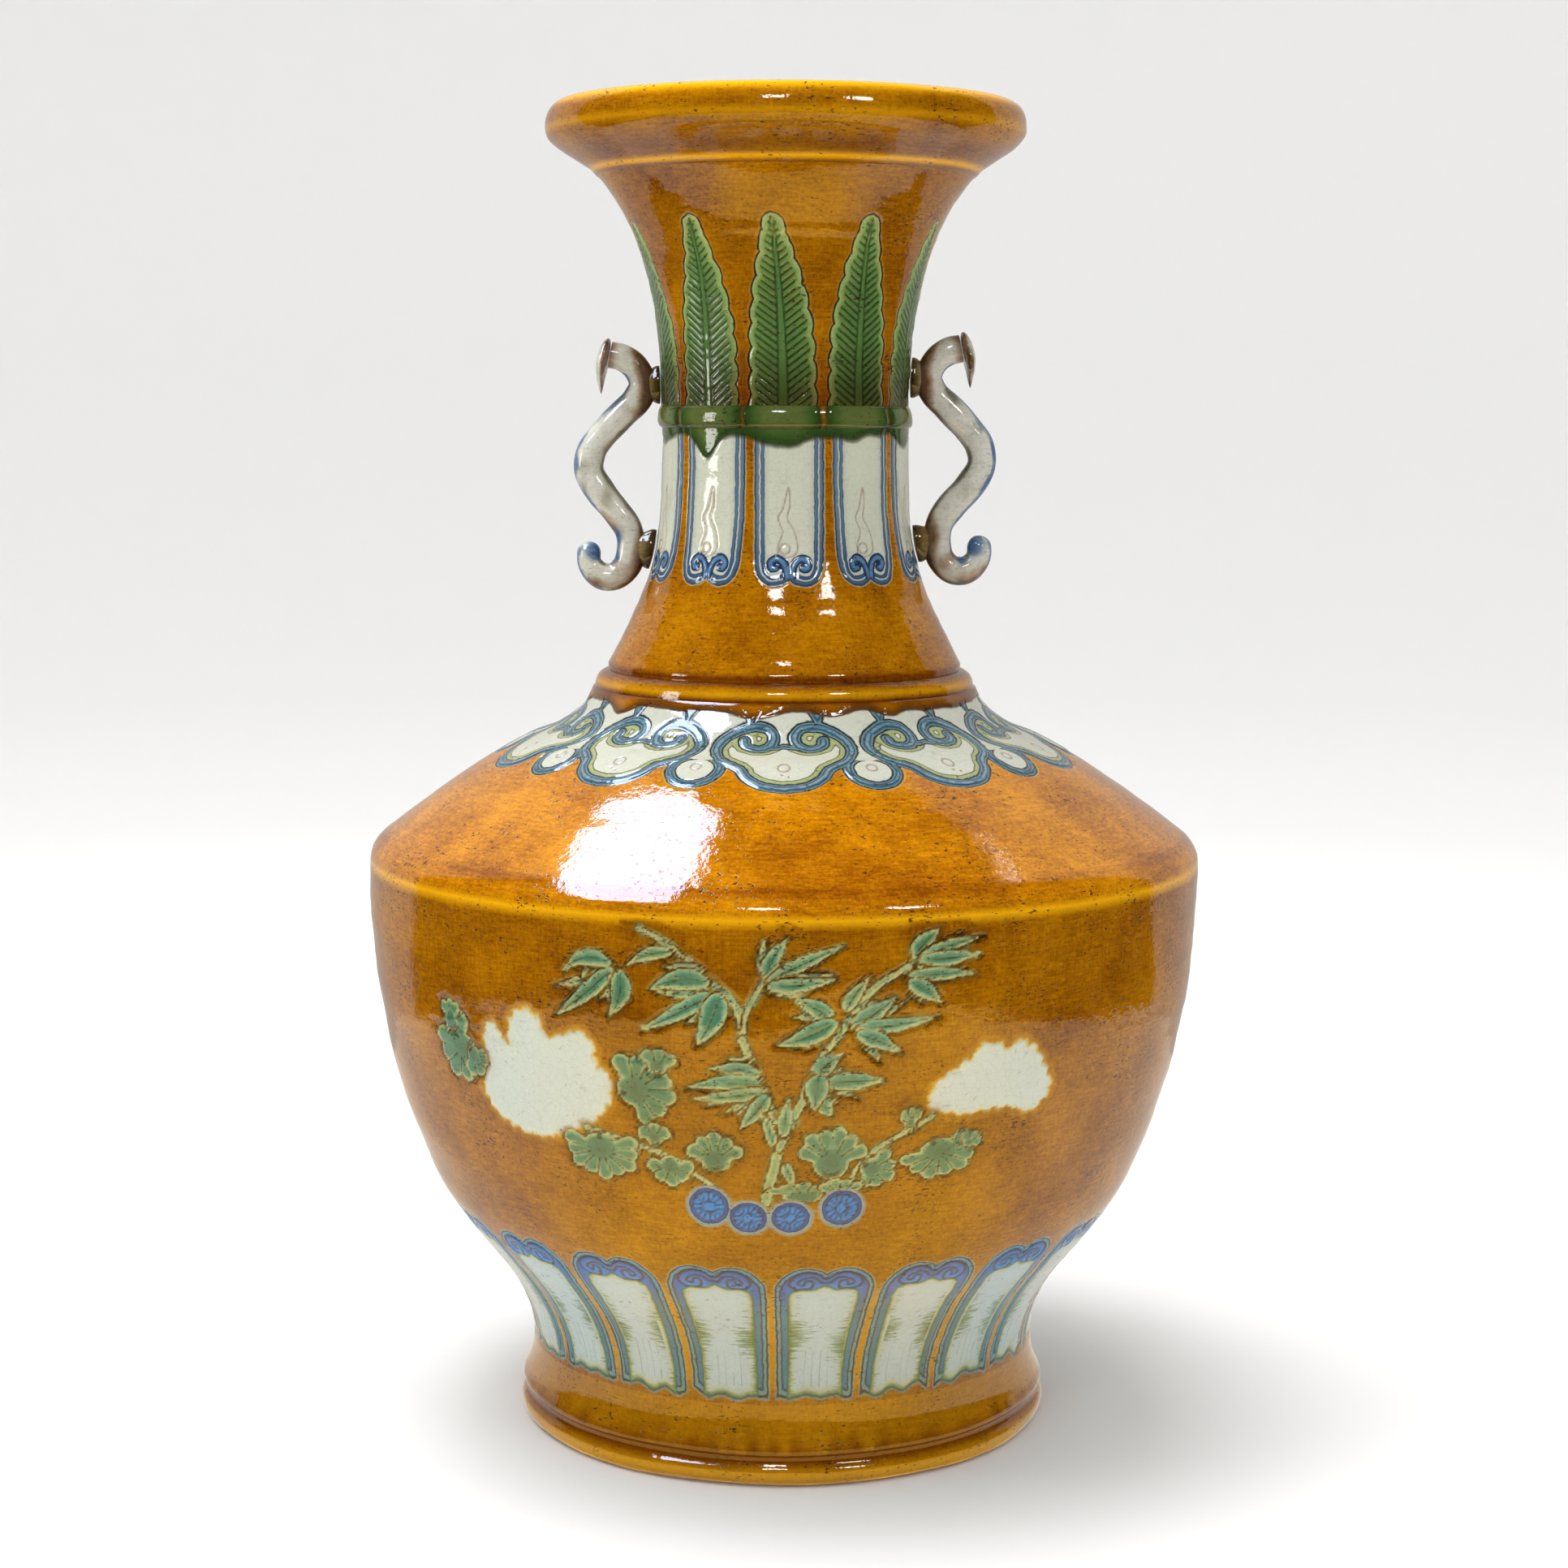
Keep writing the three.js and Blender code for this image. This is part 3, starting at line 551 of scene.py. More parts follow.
def draw_panels(ground, at):
    """The ten white panels of the lower neck, the green runs over their tops and the foot of the neck."""
    pitch = math.radians(36)
    for number in range(10):
        picked, x, y = ground.near(2 + 36 * number, 62, 40)
        y = y + 62
        edge = in_shape(x, y, NECK_PANEL)
        paint(ground.white, picked, edge)
        ends = (y < 47)
        curl = np.maximum(1.15 - to_path(x, y, NECK_CURL), 1.15 - to_path(-x, y, NECK_CURL))
        ground.blue[picked] = np.maximum(ground.blue[picked], np.where(ends & (edge > 0.4), curl, -FAR))
        flame = 0.2 - np.abs(in_shape(x, y, FLAME))
        cx, cy, size = FLAME_EYE
        eye = 0.24 - np.abs(np.hypot(x - cx, y - cy) - size)
        ground.cut[picked] = np.maximum(ground.cut[picked], np.maximum(flame, eye))
        ground.pale[picked] = ease(y, 38, 58)
    top = ground.up[ground.outer].max()
    runs = drip_depth(ground.turn, GREEN_RUNS, 1.6, 5)
    ground.green = np.where(ground.outer, ground.up - (top - runs), ground.green)
    foot = np.exp(-((ground.up - 1.2) / 1.6) ** 2)
    ground.pool = np.maximum(ground.pool, np.where(ground.outer, 0.85 * foot, 0))


COLLAR_RUNS = [(-52, 3.0, 6), (-30, 1.4, 5), (-8, 2.4, 6), (12, 1.2, 6), (31, 2.6, 5), (58, 1.6, 8), (95, 2.8, 7),
               (130, 1.4, 9), (170, 2.4, 7), (-85, 1.8, 9), (-125, 2.8, 6)]


def draw_clouds(ground, at):
    """The collar of ten cloud heads on the shoulder, with a small petal between each two."""
    base = 56.6
    ground.moss = np.full(len(ground.turn), -FAR)
    for number in range(10):
        picked, x, y = ground.near(36 * number + 18, base + 12, 26)
        y = y + 12
        petal = 9.6 - np.hypot(x, (y - 9.0))
        band = 1.5 - np.abs(np.hypot(x, y - 9.0) - 8.0)
        band = np.where(y < 15, band, -1)
        ground.white[picked] = np.maximum(ground.white[picked], petal)
        ground.blue[picked] = np.maximum(ground.blue[picked], band)
        ring = 0.24 - np.abs(np.hypot(x, (y - 10.6) * 0.9) - 1.7)
        ground.cut[picked] = np.maximum(ground.cut[picked], ring)
    for number in range(10):
        picked, x, y = ground.near(36 * number, base + 18, 30)
        y = y + 18
        head = in_shape(x, y, CLOUD_FIELD)
        ground.white[picked] = np.maximum(ground.white[picked], head)
        over = head > -0.5
        ground.blue[picked] = np.where(over, -FAR, ground.blue[picked])
        ground.cut[picked] = np.where(over, -FAR, ground.cut[picked])
        line = np.minimum(to_path(x, y, CLOUD_BAND), to_path(-x, y, CLOUD_BAND))
        bridge = 0.9 - to_path(x, y, CLOUD_BRIDGE)
        ground.blue[picked] = np.maximum(ground.blue[picked], np.maximum(1.75 - line, bridge))
        ground.pale[picked] = np.where(over, ease(-y, -20, -6), ground.pale[picked])
        ground.moss[picked] = np.maximum(ground.moss[picked], np.where(head > 1.6, 3.9 - line, -FAR))
        ring = 0.25 - np.abs(np.hypot(x, (y - 11.2) * 0.85) - 1.9)
        dots = 0.5 - np.minimum(np.hypot(x + 0.6, y - 7.0), np.hypot(x - 1.6, y - 6.0))
        ground.cut[picked] = np.maximum(ground.cut[picked], np.maximum(ring, dots))
    above = ground.up - (base + 13)
    ground.white = np.where(ground.outer, np.maximum(ground.white, above), ground.white)
    for number in range(20):
        spot = 18 * number + 9
        picked, x, y = ground.near(spot, base + 36, 8)
        tooth = in_shape(x, y, np.array([(-2.6, 3.4), (0, -2.4), (2.6, 3.4)]))
        ground.blue[picked] = np.maximum(ground.blue[picked], tooth)
    top = ground.up[ground.outer].max()
    runs = drip_depth(ground.turn, COLLAR_RUNS, 2.6, 8)
    ground.green = np.where(ground.outer, ground.up - (top - runs), ground.green)
    amount = 0.75 * np.exp(-((ground.up - 9.5) / 2.2) ** 2) * (0.6 + 0.4 * ripple(ground.turn, ground.up, 3))
    ground.pool = np.where(ground.outer, np.clip(amount, 0, 1), 0)
    ground.pool = np.where(ground.outer, np.maximum(ground.pool, 0.9 * ease(ground.up, top - 1.6, top)), 0)
    crease = 0.95 * np.exp(-((ground.up - 0.2) / 1.1) ** 2)
    ground.ridge = np.where(ground.outer, crease, 0)


def draw_spray(ground):
    """Bamboo, chrysanthemums and round stones on the belly, once at the front and once at the back."""
    rng = np.random.default_rng(6)
    for side in (0, 180):
        for points in (LEFT_MUM, RIGHT_MUM):
            shape = frilled(points)
            middle = shape.mean(axis=0)
            turn = side + math.degrees(middle[0] / SPRAY_RADIUS)
            picked, x, y = ground.near(turn, middle[1], 32, SPRAY_RADIUS)
            edge = in_shape(x + middle[0], y + middle[1], shape)
            paint(ground.white, picked, edge, 0.0)
            angle = np.arctan2(y, x)
            out = np.hypot(x, y)
            rays = np.abs(((angle * 17 / math.tau + 0.25 * np.sin(out / 3.1)) % 1) - 0.5) * math.tau * out / 17
            rays = np.where((out > 7) & (edge > 0.6) & (np.sin(out * 0.9 + angle * 5) > -0.1), 0.07 - rays, -1)
            ground.cut[picked] = np.maximum(ground.cut[picked], rays)
        for path, half in STALKS:
            middle = path.mean(axis=0)
            reach = np.ptp(path, axis=0).max() / 2 + 8
            picked, x, y = ground.near(side + math.degrees(middle[0] / SPRAY_RADIUS), middle[1], reach, SPRAY_RADIUS)
            away = to_path(x + middle[0], y + middle[1], path)
            half = half * 0.8
            paint(ground.green, picked, half - away)
            rim = 0.22 - np.abs(away - half - 0.2)
            ground.cut[picked] = np.where(away < half + 1, rim, ground.cut[picked])
            ground.pale[picked] = np.maximum(ground.pale[picked], 0.8 * ease(half - away, -0.4, 0.3))
        for centre, across, up, count, turn, span in LOBED_LEAVES:
            spot = side + math.degrees(centre[0] / SPRAY_RADIUS)
            picked, x, y = ground.near(spot, centre[1], max(across, up) + 7, SPRAY_RADIUS)
            hub = 0.36 * across * math.cos(math.radians(turn)), 0.36 * up * math.sin(math.radians(turn))
            edge, seam = fan_leaf(x + hub[0], y + hub[1], across * 1.3, up * 1.3, count, turn, span * 0.74)
            worn = 0.3 * ease(np.sin(0.42 * x + 0.3 * y + across) + 0.5 * np.sin(1.1 * x - 0.9 * y), 0.0, 0.9)
            paint(ground.green, picked, np.where(edge > 0, 1.9 * edge, edge))
            lines = np.maximum(np.where(edge > 0.2, 0.34 - seam * 0.55, -1), 0.3 - worn - np.abs(edge + 0.4))
            stroke = 0.2 - np.abs(edge + 1.4 + 0.3 * np.sin(0.8 * x - 0.7 * y))
            stroke = np.where(np.sin(0.5 * x + 0.6 * y + across) > 0.1, stroke, -1)
            ground.cut[picked] = np.where(edge > -1.0, lines, np.maximum(ground.cut[picked], stroke))
            hollow = 0.4 * np.exp(-np.hypot((x + hub[0]) / across, (y + hub[1]) / up) ** 2 / 0.12)
            ground.pool[picked] = np.maximum(ground.pool[picked], np.where(edge > -0.5, hollow, 0))
            fringe = 0.6 * ease(-edge, -2.0, -0.5) + 0.5 * rng.uniform(0, 0.45)
            ground.pale[picked] = np.where(edge > -2, fringe, ground.pale[picked])
        leaves = []
        for base, tip, width, bow in BAMBOO_LEAVES:
            lean = rng.choice((-1, 1)) * rng.uniform(0.3, 0.55)
            way = np.array(tip) - base
            turned = np.array([way[0] - lean * way[1], way[1] + lean * way[0]]) * rng.uniform(0.55, 0.8)
            if width > 3.9:
                leaves.append((base, tuple(np.array(base) + turned), width * 0.55, bow, 0.6))
        leaves += [(*leaf, 0.0) for leaf in BAMBOO_LEAVES]
        for base, tip, width, bow, olive in leaves:
            shape, rib = blade(base, tip, width, bow)
            middle = shape.mean(axis=0)
            reach = np.ptp(shape, axis=0).max() / 2 + 7
            picked, x, y = ground.near(side + math.degrees(middle[0] / SPRAY_RADIUS), middle[1], reach, SPRAY_RADIUS)
            edge = in_shape(x + middle[0], y + middle[1], shape)
            paint(ground.green, picked, np.where(edge > 0, 1.5 * edge, edge))
            vein = 0.18 - to_path(x + middle[0], y + middle[1], rib[1:-2])
            worn = 0.34 * ease(np.sin(0.36 * x - 0.44 * y + width * 7) + 0.4 * np.sin(1.3 * x + 0.8 * y), -0.1, 0.8)
            vein = np.maximum(np.where(edge > 0.4, vein, -1), 0.3 - worn - np.abs(edge + 0.4))
            stroke = 0.2 - np.abs(edge + 1.35 + 0.3 * np.sin(0.7 * x + 0.9 * y + width * 5))
            stroke = np.where(np.sin(0.45 * x - 0.62 * y + width * 9) > 0.0, stroke, -1)
            ground.cut[picked] = np.where(edge > -1.0, vein, np.maximum(ground.cut[picked], stroke))
            along = (x + middle[0] - base[0]) * (tip[0] - base[0]) + (y + middle[1] - base[1]) * (tip[1] - base[1])
            along = along / max((tip[0] - base[0]) ** 2 + (tip[1] - base[1]) ** 2, 1)
            tone = rng.uniform(0.0, 0.4) + olive + 0.5 * ease(along, 0.6, 1.05) + (0.3 if width < 4.3 else 0)
            aside = to_path(x + middle[0], y + middle[1], rib)
            tone = tone + 0.4 * np.sin(aside * 4.4 + along * 3.0 + width * 3)
            ground.pale[picked] = np.where(edge > -2, np.clip(tone, 0, 1), ground.pale[picked])
        for x0, y0, across, up in DISCS:
            picked, x, y = ground.near(side + math.degrees(x0 / SPRAY_RADIUS), y0, 12, SPRAY_RADIUS)
            out = np.hypot(x / across, y / up)
            edge = (1 - out) * min(across, up)
            paint(ground.blue, picked, edge)
            ground.green[picked] = np.where(edge > -1.2, -FAR, ground.green[picked])
            spokes = np.abs(((np.arctan2(y / up, x / across) * 14 / math.tau) % 1) - 0.5) * math.tau * out * 6 / 14
            spokes = np.where((out > 0.2) & (out < 0.82), 0.26 - spokes, -1)
            ring = 0.26 - np.abs(out - 0.86) * 6
            ground.cut[picked] = np.where(edge > -1.2, np.maximum(spokes, ring), ground.cut[picked])
    shade = np.exp(-np.clip(-ground.green, 0, 9) / 1.7) * (ground.green < 0)
    shade = np.maximum(shade, 0.8 * np.exp(-np.clip(-ground.white, 0, 9) / 2.2) * (ground.white < 0))
    ground.pool = np.maximum(ground.pool, 0.75 * shade * (0.7 + 0.5 * ripple(ground.turn, ground.up, 21, rise=(9, 30))))


def draw_petals(ground):
    """The twenty lappets round the foot of the belly, each with its window, curls and brush marks."""
    rng = np.random.default_rng(4)
    for number in range(20):
        picked, x, y = ground.near(7 + 18 * number, 28, 44)
        y = y + 28
        scale = (math.pi / 20 * ground.radius[picked] - 1.9) / np.interp(y, [-8, 0, 14, 28, 42, 49.5], [10.8, 11.6, 12.3, 13.4, 14.6, 15.0])
        x = x / np.clip(scale, 0.7, 1.4)
        edge = in_shape(x, y, PETAL)
        window = in_shape(x, y, PETAL_WINDOW)
        curl = np.minimum(to_path(x, y, PETAL_CURL), to_path(-x, y, PETAL_CURL))
        white = np.minimum(window, edge)
        paint(ground.lappet, picked, edge)
        ground.window[picked] = np.maximum(ground.window[picked], white)
        ground.pale[picked] = np.where(edge > -0.5, ease(-y, -52, -38), ground.pale[picked])
        curls = np.where(y > 49, 0.42 - np.abs(curl - 1.3), -1)
        waves = np.abs(((y + 0.7 * np.sin(x * 1.1 + number)) / 3.4 % 1) - 0.5) * 3.4
        waves = np.where((y > 29) & (y < 47) & (np.abs(x) < 5.4 - 0.12 * (47 - y)) & (np.sin(x * 1.9 + y + number) > -0.5), 0.2 - waves, -1)
        tassel = np.where((y > 6) & (y < 21) & (np.abs(x + 0.3 * np.sin(y)) < 5.4), 0.08 - np.abs((x / 2.5 % 1) - 0.5) * 2.5, -1)
        lines = np.maximum(np.maximum(waves, tassel), curls)
        ground.cut[picked] = np.where(edge > 0.3, np.maximum(lines, ground.cut[picked]), ground.cut[picked])
        for sign in (-1, 1):
            height = 26 + rng.uniform(-3, 3)
            tall = rng.uniform(7, 12)
            smear = 1 - np.hypot((x - sign * 9.8) / rng.uniform(5.5, 7.5), (y - height) / tall)
            low = 0.9 - np.abs(np.abs(x) - 9.0) / 2.2 - 0.6 * ease(y, 30, 50)
            mark = np.where(white > -0.4, np.maximum(smear * 3.0, low * 1.4) - 0.4, -FAR)
            ground.moss[picked] = np.maximum(ground.moss[picked], mark)
    jag = 3.4 + 0.9 * ripple(ground.turn, 0 * ground.turn, 15, waves=14, turns=(12, 60))
    below = (ground.up - jag) * 0.6
    gap = ease(ground.lappet, -3.2, -1.4) * (ground.lappet < -0.4) * ease(-ground.up, -55, -46)
    ground.ridge = np.where(ground.outer, 0.4 * gap * ease(ground.up, 3, 8), 0)
    for field in (ground.window, ground.lappet, ground.moss):
        field[:] = np.where(ground.outer, np.minimum(field, below), field)


def draw_belly(ground, at):
    """Everything on the lower body."""
    ground.lappet = np.full(len(ground.turn), -FAR)
    ground.moss = np.full(len(ground.turn), -FAR)
    ground.window = np.full(len(ground.turn), -FAR)
    draw_spray(ground)
    draw_petals(ground)
    top = ground.up[ground.outer].max()
    ground.ridge = np.where(ground.outer, np.maximum(ground.ridge, 0.95 * ease(ground.up, top - 1.7, top - 0.5)), 0)


def draw_mouth(ground, at):
    """The raised line under the rim and the thin glaze on the lip."""
    line = np.exp(-((ground.height - at["mouth"] - 1.6) / 0.9) ** 2)
    lip = np.exp(-((ground.height - at["top"] + 0.5) / 1.8) ** 2)
    widest = 0.4 * np.exp(-((ground.height - at["top"] + 9.5) / 1.4) ** 2)
    ground.ridge = np.where(ground.outer, np.maximum(np.maximum(line, widest), 0.9 * lip), 0.6 * lip)
    under = 0.5 * np.exp(-((ground.height - at["mouth"] - 5.5) / 2.6) ** 2)
    seam = 0.7 * np.exp(-((ground.height - at["mouth"]) / 0.8) ** 2)
    ground.pool = np.where(ground.outer, np.maximum(under, seam), 0.2)


def draw_foot(ground, at):
    """The dark groove and the yellow bead of the foot, and the bare clay under it."""
    streaks = ripple(ground.turn, 0.1 * ground.height, 31, waves=24, turns=(20, 90))
    above = (ground.height - 9.8) / np.where(ground.height > 9.8, 4.2 + 1.5 * streaks.clip(-1.5, 2), 2.2)
    ground.pool = np.where(ground.outer, 0.98 * np.exp(-above ** 2), 0)
    bead = 0.55 * np.exp(-((ground.height - 4.6) / 2.2) ** 2)
    ground.ridge = np.where(ground.outer, np.maximum(bead, 0.2), 0)
    bevel = np.clip(0.65 * (ground.height - 6.0) - (ground.radius[ground.outer].max() - ground.radius), 0, 0.8)
    ground.lift = np.where(ground.outer, -bevel * (1 - ease(ground.height, 9.4, 12.5)), 0)
    bare = 1 - ease(ground.height + 0.6 * ripple(ground.turn, ground.height, 33, turns=(4, 20)), 0.7, 1.6)
    ground.bare = np.where(ground.outer, bare, 1.0)


def draw_collar(ground, at):
    """The dark lines above and below the collar's bead."""
    low = np.exp(-((ground.height - at["shoulder"]) / 0.8) ** 2)
    high = np.exp(-((ground.height - at["collar"]) / 0.9) ** 2)
    ground.pool = np.where(ground.outer, 0.95 * np.maximum(low, high), 0)
    ground.ridge = np.where(ground.outer, 0.5 * np.exp(-((ground.height - at["shoulder"] - 2.6) / 1.3) ** 2), 0)


def draw_band(ground, at):
    """The green bead round the neck, with amber running through between the leaves."""
    ground.green = np.where(ground.outer, FAR / 3, ground.green)
    gaps = [(17, 0.9), (53, 0.3), (89, 0.7), (125, 0.2), (161, 0.8), (-19, 0.5), (-55, 0.4), (-91, 0.1), (-127, 0.7)]
    for centre, half in gaps:
        picked, x, y = ground.near(centre, 4, 12)
        ground.green[picked] = np.minimum(ground.green[picked], np.abs(x + 0.3 * np.sin(y)) - half)
    ground.pool = np.where(ground.outer, 0.35 * ease(-ground.up, -3.5, 0), 0)


# Thrown sections

def spin_section(name, chain, columns):
    """A closed chain of radius and height turned round the axis, with its number along the chain kept on each place."""
    bm = bmesh.new()
    mark = bm.verts.layers.float.new("chain")
    verts = []
    for number, (radius, height) in enumerate(chain):
        vert = bm.verts.new((0.0, radius * MM, height * MM))
        vert[mark] = number
        verts.append(vert)
    edges = [bm.edges.new(pair) for pair in zip(verts, verts[1:])]
    if chain[0][0] > 0:
        edges.append(bm.edges.new((verts[-1], verts[0])))
    bmesh.ops.spin(
        bm, geom=verts + edges, cent=(0, 0, 0), axis=(0, 0, 1), dvec=(0, 0, 0), angle=math.tau, steps=columns,
        use_merge=True, use_normal_flip=False, use_duplicate=False)
    bmesh.ops.remove_doubles(bm, verts=bm.verts, dist=1e-7)
    bmesh.ops.recalc_face_normals(bm, faces=bm.faces)
    return bm


def read_ground(bm, chain, outer_count):
    """Where each vertex of a section is on its surface."""
    mark = bm.verts.layers.float["chain"]
    place = np.array([(v.co.x, v.co.y, v[mark]) for v in bm.verts])
    number = place[:, 2]
    chain = np.array(chain)
    steps = np.arange(len(chain))
    outer = number <= outer_count - 1 + 1e-4
    run = run_along(chain)
    radius = np.interp(number, steps, chain[:, 0])
    height = np.interp(number, steps, chain[:, 1])
    turn = np.degrees(np.arctan2(place[:, 0], -place[:, 1]))
    return Ground(turn, np.interp(number, steps, run), radius, height, outer)


def unroll(mesh, turn, up, outer, rest, strips, at_axis=None):
    """A UV map for baking: the outer surface in strips side by side, the rest in a narrow row above them.

    Turn is in degrees, up runs from 0 to 1 over the outer surface and rest from 0 to 1 over the other surfaces.
    """
    corners = np.empty(len(mesh.loops), int)
    mesh.loops.foreach_get("vertex_index", corners)
    starts = np.empty(len(mesh.polygons), int)
    totals = np.empty(len(mesh.polygons), int)
    mesh.polygons.foreach_get("loop_start", starts)
    mesh.polygons.foreach_get("loop_total", totals)
    face = np.repeat(np.arange(len(starts)), totals)
    faces = len(starts)
    around = turn[corners] % 360
    weight = np.ones(len(corners)) if at_axis is None else np.where(at_axis[corners], 1e-6, 1.0)
    sums = [np.bincount(face, weight * wave(np.radians(around)), faces) for wave in (np.cos, np.sin)]
    centre = np.degrees(np.arctan2(sums[1], sums[0])) % 360
    off = (around - centre[face] + 180) % 360 - 180
    if at_axis is not None:
        off = np.where(at_axis[corners], 0, off)
    around = centre[face] + off
    strip = np.minimum((centre / 360 * strips).astype(int), strips - 1)[face]
    rows = 2 if strips > 2 else 1
    per_row = strips // rows
    width = 360 / strips
    u = (strip % per_row + 0.01 + 0.98 * (around - strip * width) / width) / per_row
    v = (strip // per_row + 0.01 + 0.97 * up[corners]) / rows * 0.84
    out = (np.bincount(face, outer[corners], faces) >= totals - 0.5)[face]
    end_of_rest = np.where(rest[corners] <= 0, 1.0, rest[corners])
    closing = (np.bincount(face, rest[corners] > 0.5, faces) > 0)[face]
    last = np.where(closing, end_of_rest, rest[corners])
    u = np.where(out, u, 0.01 + 0.98 * around / 360)
    v = np.where(out, v, 0.86 + 0.13 * np.clip(last, 0, 1))
    layer = mesh.uv_layers.new(name="OFBake")
    layer.data.foreach_set("uv", np.column_stack([np.clip(u, 0, 1), np.clip(v, 0, 1)]).ravel())


FIELDS = ("white", "green", "blue", "cut", "pool", "ridge", "pale", "bare", "lappet", "window", "moss")


def carve(ground):
    """How far the glaze surface stands below the outline, in millimetres, never above it."""
    depth = np.full(len(ground.turn), 0.30)
    depth += 0.16 * ripple(ground.turn, ground.height, 11) * ground.outer
    depth += 0.05 * ripple(ground.turn, ground.height, 12, turns=(0, 3), rise=(3.5, 9)) * ground.outer
    for name in ("white", "green", "blue", "lappet"):
        field = getattr(ground, name, None)
        if field is None:
            continue
        groove = np.exp(-((field + 0.15) / 0.42) ** 2)
        depth += 0.26 * groove
        depth -= 0.15 * ease(field, 0.2, 1.6) * (0 if name == "white" and hasattr(ground, "lappet") else 1)
    depth += 0.2 * ease(ground.cut, -0.25, 0.12)
    depth -= ground.lift
    return np.clip(depth, 0.02, 1.4) * ground.outer


def make_section(name, material, slot_name, outer, inner, columns, step, draw, refinements=(), strips=4, under=None):
    """Turns a section, refines it where it is drawn on, carves it and keeps its glaze fields as attributes."""
    sizes = bpy.context.scene.vase_sizes
    at = levels(sizes)
    fine = spaced(outer, step)
    chain = np.vstack([fine, inner])
    first = 0
    if under is not None:
        chain = np.vstack([under, chain])
        first = len(under)
    bm = spin_section(name, chain, columns)

    def places():
        ground = read_ground(bm, chain, first + len(fine))
        if first:
            mark = bm.verts.layers.float["chain"]
            number = np.array([v[mark] for v in bm.verts])
            ground.outer &= number >= first - 1e-4
            run = run_along(chain)
            ground.up = np.interp(number, np.arange(len(chain)), run) - run[first]
        return ground

    for reach in refinements:
        ground = places()
        draw(ground, at)
        fields = [ground.white, ground.green, ground.blue, getattr(ground, "lappet", ground.blue)]
        away = np.min([np.abs(field) for field in fields], axis=0)
        away = np.where(ground.cut > (-0.9 if reach > 1 else -0.4), 0, away)
        away = np.where(ground.outer, away, FAR)
        bm.verts.index_update()
        chosen = set()
        for face in bm.faces:
            numbers = [v.index for v in face.verts]
            if min(away[n] for n in numbers) < reach and all(ground.outer[n] for n in numbers):
                chosen.update(face.edges)
        bmesh.ops.subdivide_edges(bm, edges=list(chosen), cuts=1, use_grid_fill=True)
    ground = places()
    draw(ground, at)
    depth = carve(ground)
    mesh = bpy.data.meshes.new(name)
    bm.to_mesh(mesh)
    bm.free()
    number = vertex_values(mesh, "chain")
    steps = np.arange(len(chain))
    slope = np.gradient(fine, axis=0)
    slope /= np.linalg.norm(slope, axis=1)[:, None]
    from_seam = np.minimum(run_along(fine), run_along(fine)[-1] - run_along(fine))
    level = ease(from_seam, 0, 1.5)
    marks = first + np.arange(len(fine))
    across = np.interp(number, marks, slope[:, 1] * level + 1 - level)
    rise = np.interp(number, marks, slope[:, 0] * level)
    radius = ground.radius - across * depth
    height = ground.height + rise * depth
    angle = np.radians(ground.turn)
    co = np.column_stack([np.sin(angle) * radius, -np.cos(angle) * radius, height]) * MM
    mesh.vertices.foreach_set("co", co.ravel())
    for field in FIELDS:
        values = getattr(ground, field, None)
        if values is not None:
            mesh.attributes.new(field, "FLOAT", "POINT").data.foreach_set("value", values.astype(np.float32))
    along = run_along(chain)
    whole = np.interp(number, steps, along)
    outer_run = along[first + len(fine) - 1] - along[first]
    rest = np.where(number <= first, whole, np.maximum(whole - outer_run, along[first]))
    unroll(mesh, ground.turn + 180, ground.up / outer_run, ground.outer, rest / (along[-1] - outer_run), strips,
           ground.radius < 1e-6)
    mesh.attributes.remove(mesh.attributes["chain"])
    mesh.shade_smooth()
    mesh.set_sharp_from_angle(angle=math.radians(70))
    mesh.materials.append(material)
    return place_piece(mesh, name, slot_name, name)


def place_piece(mesh, name, slot_name, *nodes):
    """Puts a finished mesh into the scene, in place of its CAD nodes."""
    mesh.update()
    piece = bpy.data.objects.new(name + "_glazed", mesh)
    bpy.context.scene.collection.objects.link(piece)
    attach(piece, "root")
    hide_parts(*nodes)
    print(name, len(mesh.polygons), "faces", sum(len(p.vertices) - 2 for p in mesh.polygons), "triangles")
    return piece


# Materials

def add(tree, kind, inputs=None, stops=None, **settings):
    """Adds a node with its settings, and sets or links its inputs."""
    made = tree.nodes.new(kind)
    for key, value in settings.items():
        setattr(made, key, value)
    for key, value in (inputs or {}).items():
        if isinstance(value, bpy.types.NodeSocket):
            tree.links.new(value, made.inputs[key])
        else:
            made.inputs[key].default_value = value
    if stops:
        elements = made.color_ramp.elements
        for number, (position, stop) in enumerate(stops):
            element = elements[number] if number < 2 else elements.new(position)
            element.position = position
            element.color = stop
    return made


